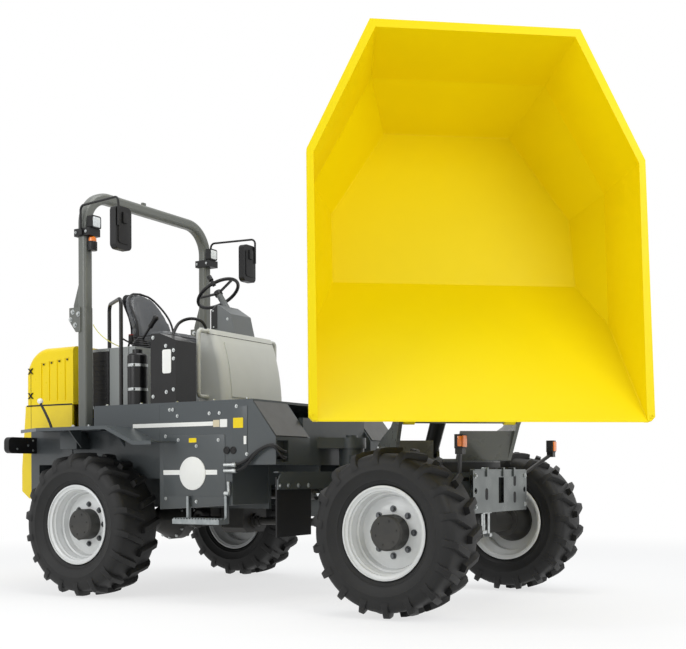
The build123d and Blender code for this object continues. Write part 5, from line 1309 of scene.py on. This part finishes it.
# Cross tube on the hinge line, and a low web on each side that leaves room for the cylinder.
webs = [rod((0.710, -0.292, 1.295), (0.710, 0.292, 1.295), 0.050, sides=8)]
form = bmesh.new()
for side in (-1, 1):
    near, far = sorted((side * 0.085, side * 0.381))
    slab(form, [(near, 0.996), (far, 0.996), (far, 1.150), (near, 1.150)], 0, 0.180, 0.195)
webs.append(mesh_of(form, "webs"))
fit("turret_webs", merged(webs, "turret_webs"), turret_enamel, "swivel", CONSOLE)
cap_bolts = [((0.710 + 0.036 * math.cos(a), side * 0.413, 1.295 + 0.036 * math.sin(a)), (0, side, 0))
             for side in (-1, 1) for a in (0.5, 2.6, 4.7)]
hex_bolts("hinge_cap_screws", cap_bolts, 0.007, 0.005, zinc_plate, "swivel", CONSOLE)

# ---------------------------------------------------------------- skip
# Welded from folded 8 mm sheet with a box-section rim, in thick glossy yellow; the hinge
# frame beneath is the same plate and the same paint.
RIM_SLOPE = 84.8              # degrees, the rim against level
HINGE = (0.710, 0.0, 1.295)   # on the swivel console
# Machine-yellow enamel on sheet steel: thick, bright, with a broad soft gleam.
skip_yellow = sprayed("skip_yellow", "#F1DA00", "#E9D000", 0.42, 0.0, coat=0.0, gloss=0.22)
dress(skip_yellow, "skip_shell", "skip_frame")
SKIP = CONSOLE @ Matrix.Translation(HINGE) @ Matrix.Rotation(math.radians(RIM_SLOPE), 4, "Y")


def in_skip(back, y, depth):
    """A place in the skip: back from its lip, across, and below its rim plane."""
    return (0.145 - back, y, 0.803 - depth)


CREASE_D, FLOOR_D = 0.566, 0.820
rim_corners = [(0.0, 0.975), (1.575, 0.985), (2.355, 0.612)]
crease_corners = [(0.711, 0.955), (1.590, 0.955), (2.310, 0.575)]
floor_corners = [(1.030, 0.820), (1.520, 0.818), (2.140, 0.438)]


def floor_depth(back):
    """The floor's depth below the rim plane."""
    return FLOOR_D + 0.19 * (back - 1.030)


welds = []
for side in (-1, 1):
    floor_line = [in_skip(b, side * y, floor_depth(b)) for b, y in floor_corners]
    crease_line = [in_skip(b, side * y, CREASE_D) for b, y in crease_corners]
    rim_line = [in_skip(b, side * y, 0.004) for b, y in rim_corners]
    welds += [floor_line, [rim_line[2], crease_line[2], floor_line[2]],
              [in_skip(0.02, side * 0.975, 0.016), crease_line[0], floor_line[0]]]
low_line = [in_skip(2.140, y, floor_depth(2.140)) for y in (-0.438, 0.438)]
welds.append(low_line)
bead("skip_welds", wires(welds), 0.0042, skip_yellow, "skip", SKIP)
# Flat end plates on the rim's box section at the lip.
form = bmesh.new()
for side in (-1, 1):
    ear = [(0.146, side * 0.976), (0.146, side * 0.998), (0.120, side * 1.024), (0.090, side * 1.024),
           (0.090, side * 0.976)]
    slab(form, ear, 2, 0.803, 0.806, edge=0.001)
    place = Matrix.Translation((0.118, side * 1.002, 0.806))
    turned(form, [(0.008, 0.0), (0.013, 0.0), (0.013, 0.004), (0.008, 0.004)], place, 20)
fit("lip_ears", mesh_of(form, "lip_ears"), skip_yellow, "skip", SKIP)

# ---------------------------------------------------------------- cylinders
# Tip and steering cylinders: drawn steel barrels in black enamel and hard-chromed rods, with
# their eyes between the lugs of the frames and the skip.
# Satin hard chrome: a clean bright rod.
rod_chrome = bright_metal("rod_chrome", "#E2E5E6", "#D4D8DA", 0.12, 0.05)
dress(black_enamel, "tip_barrel", "steer_barrel")
dress(rod_chrome, "tip_rod", "steer_rod")
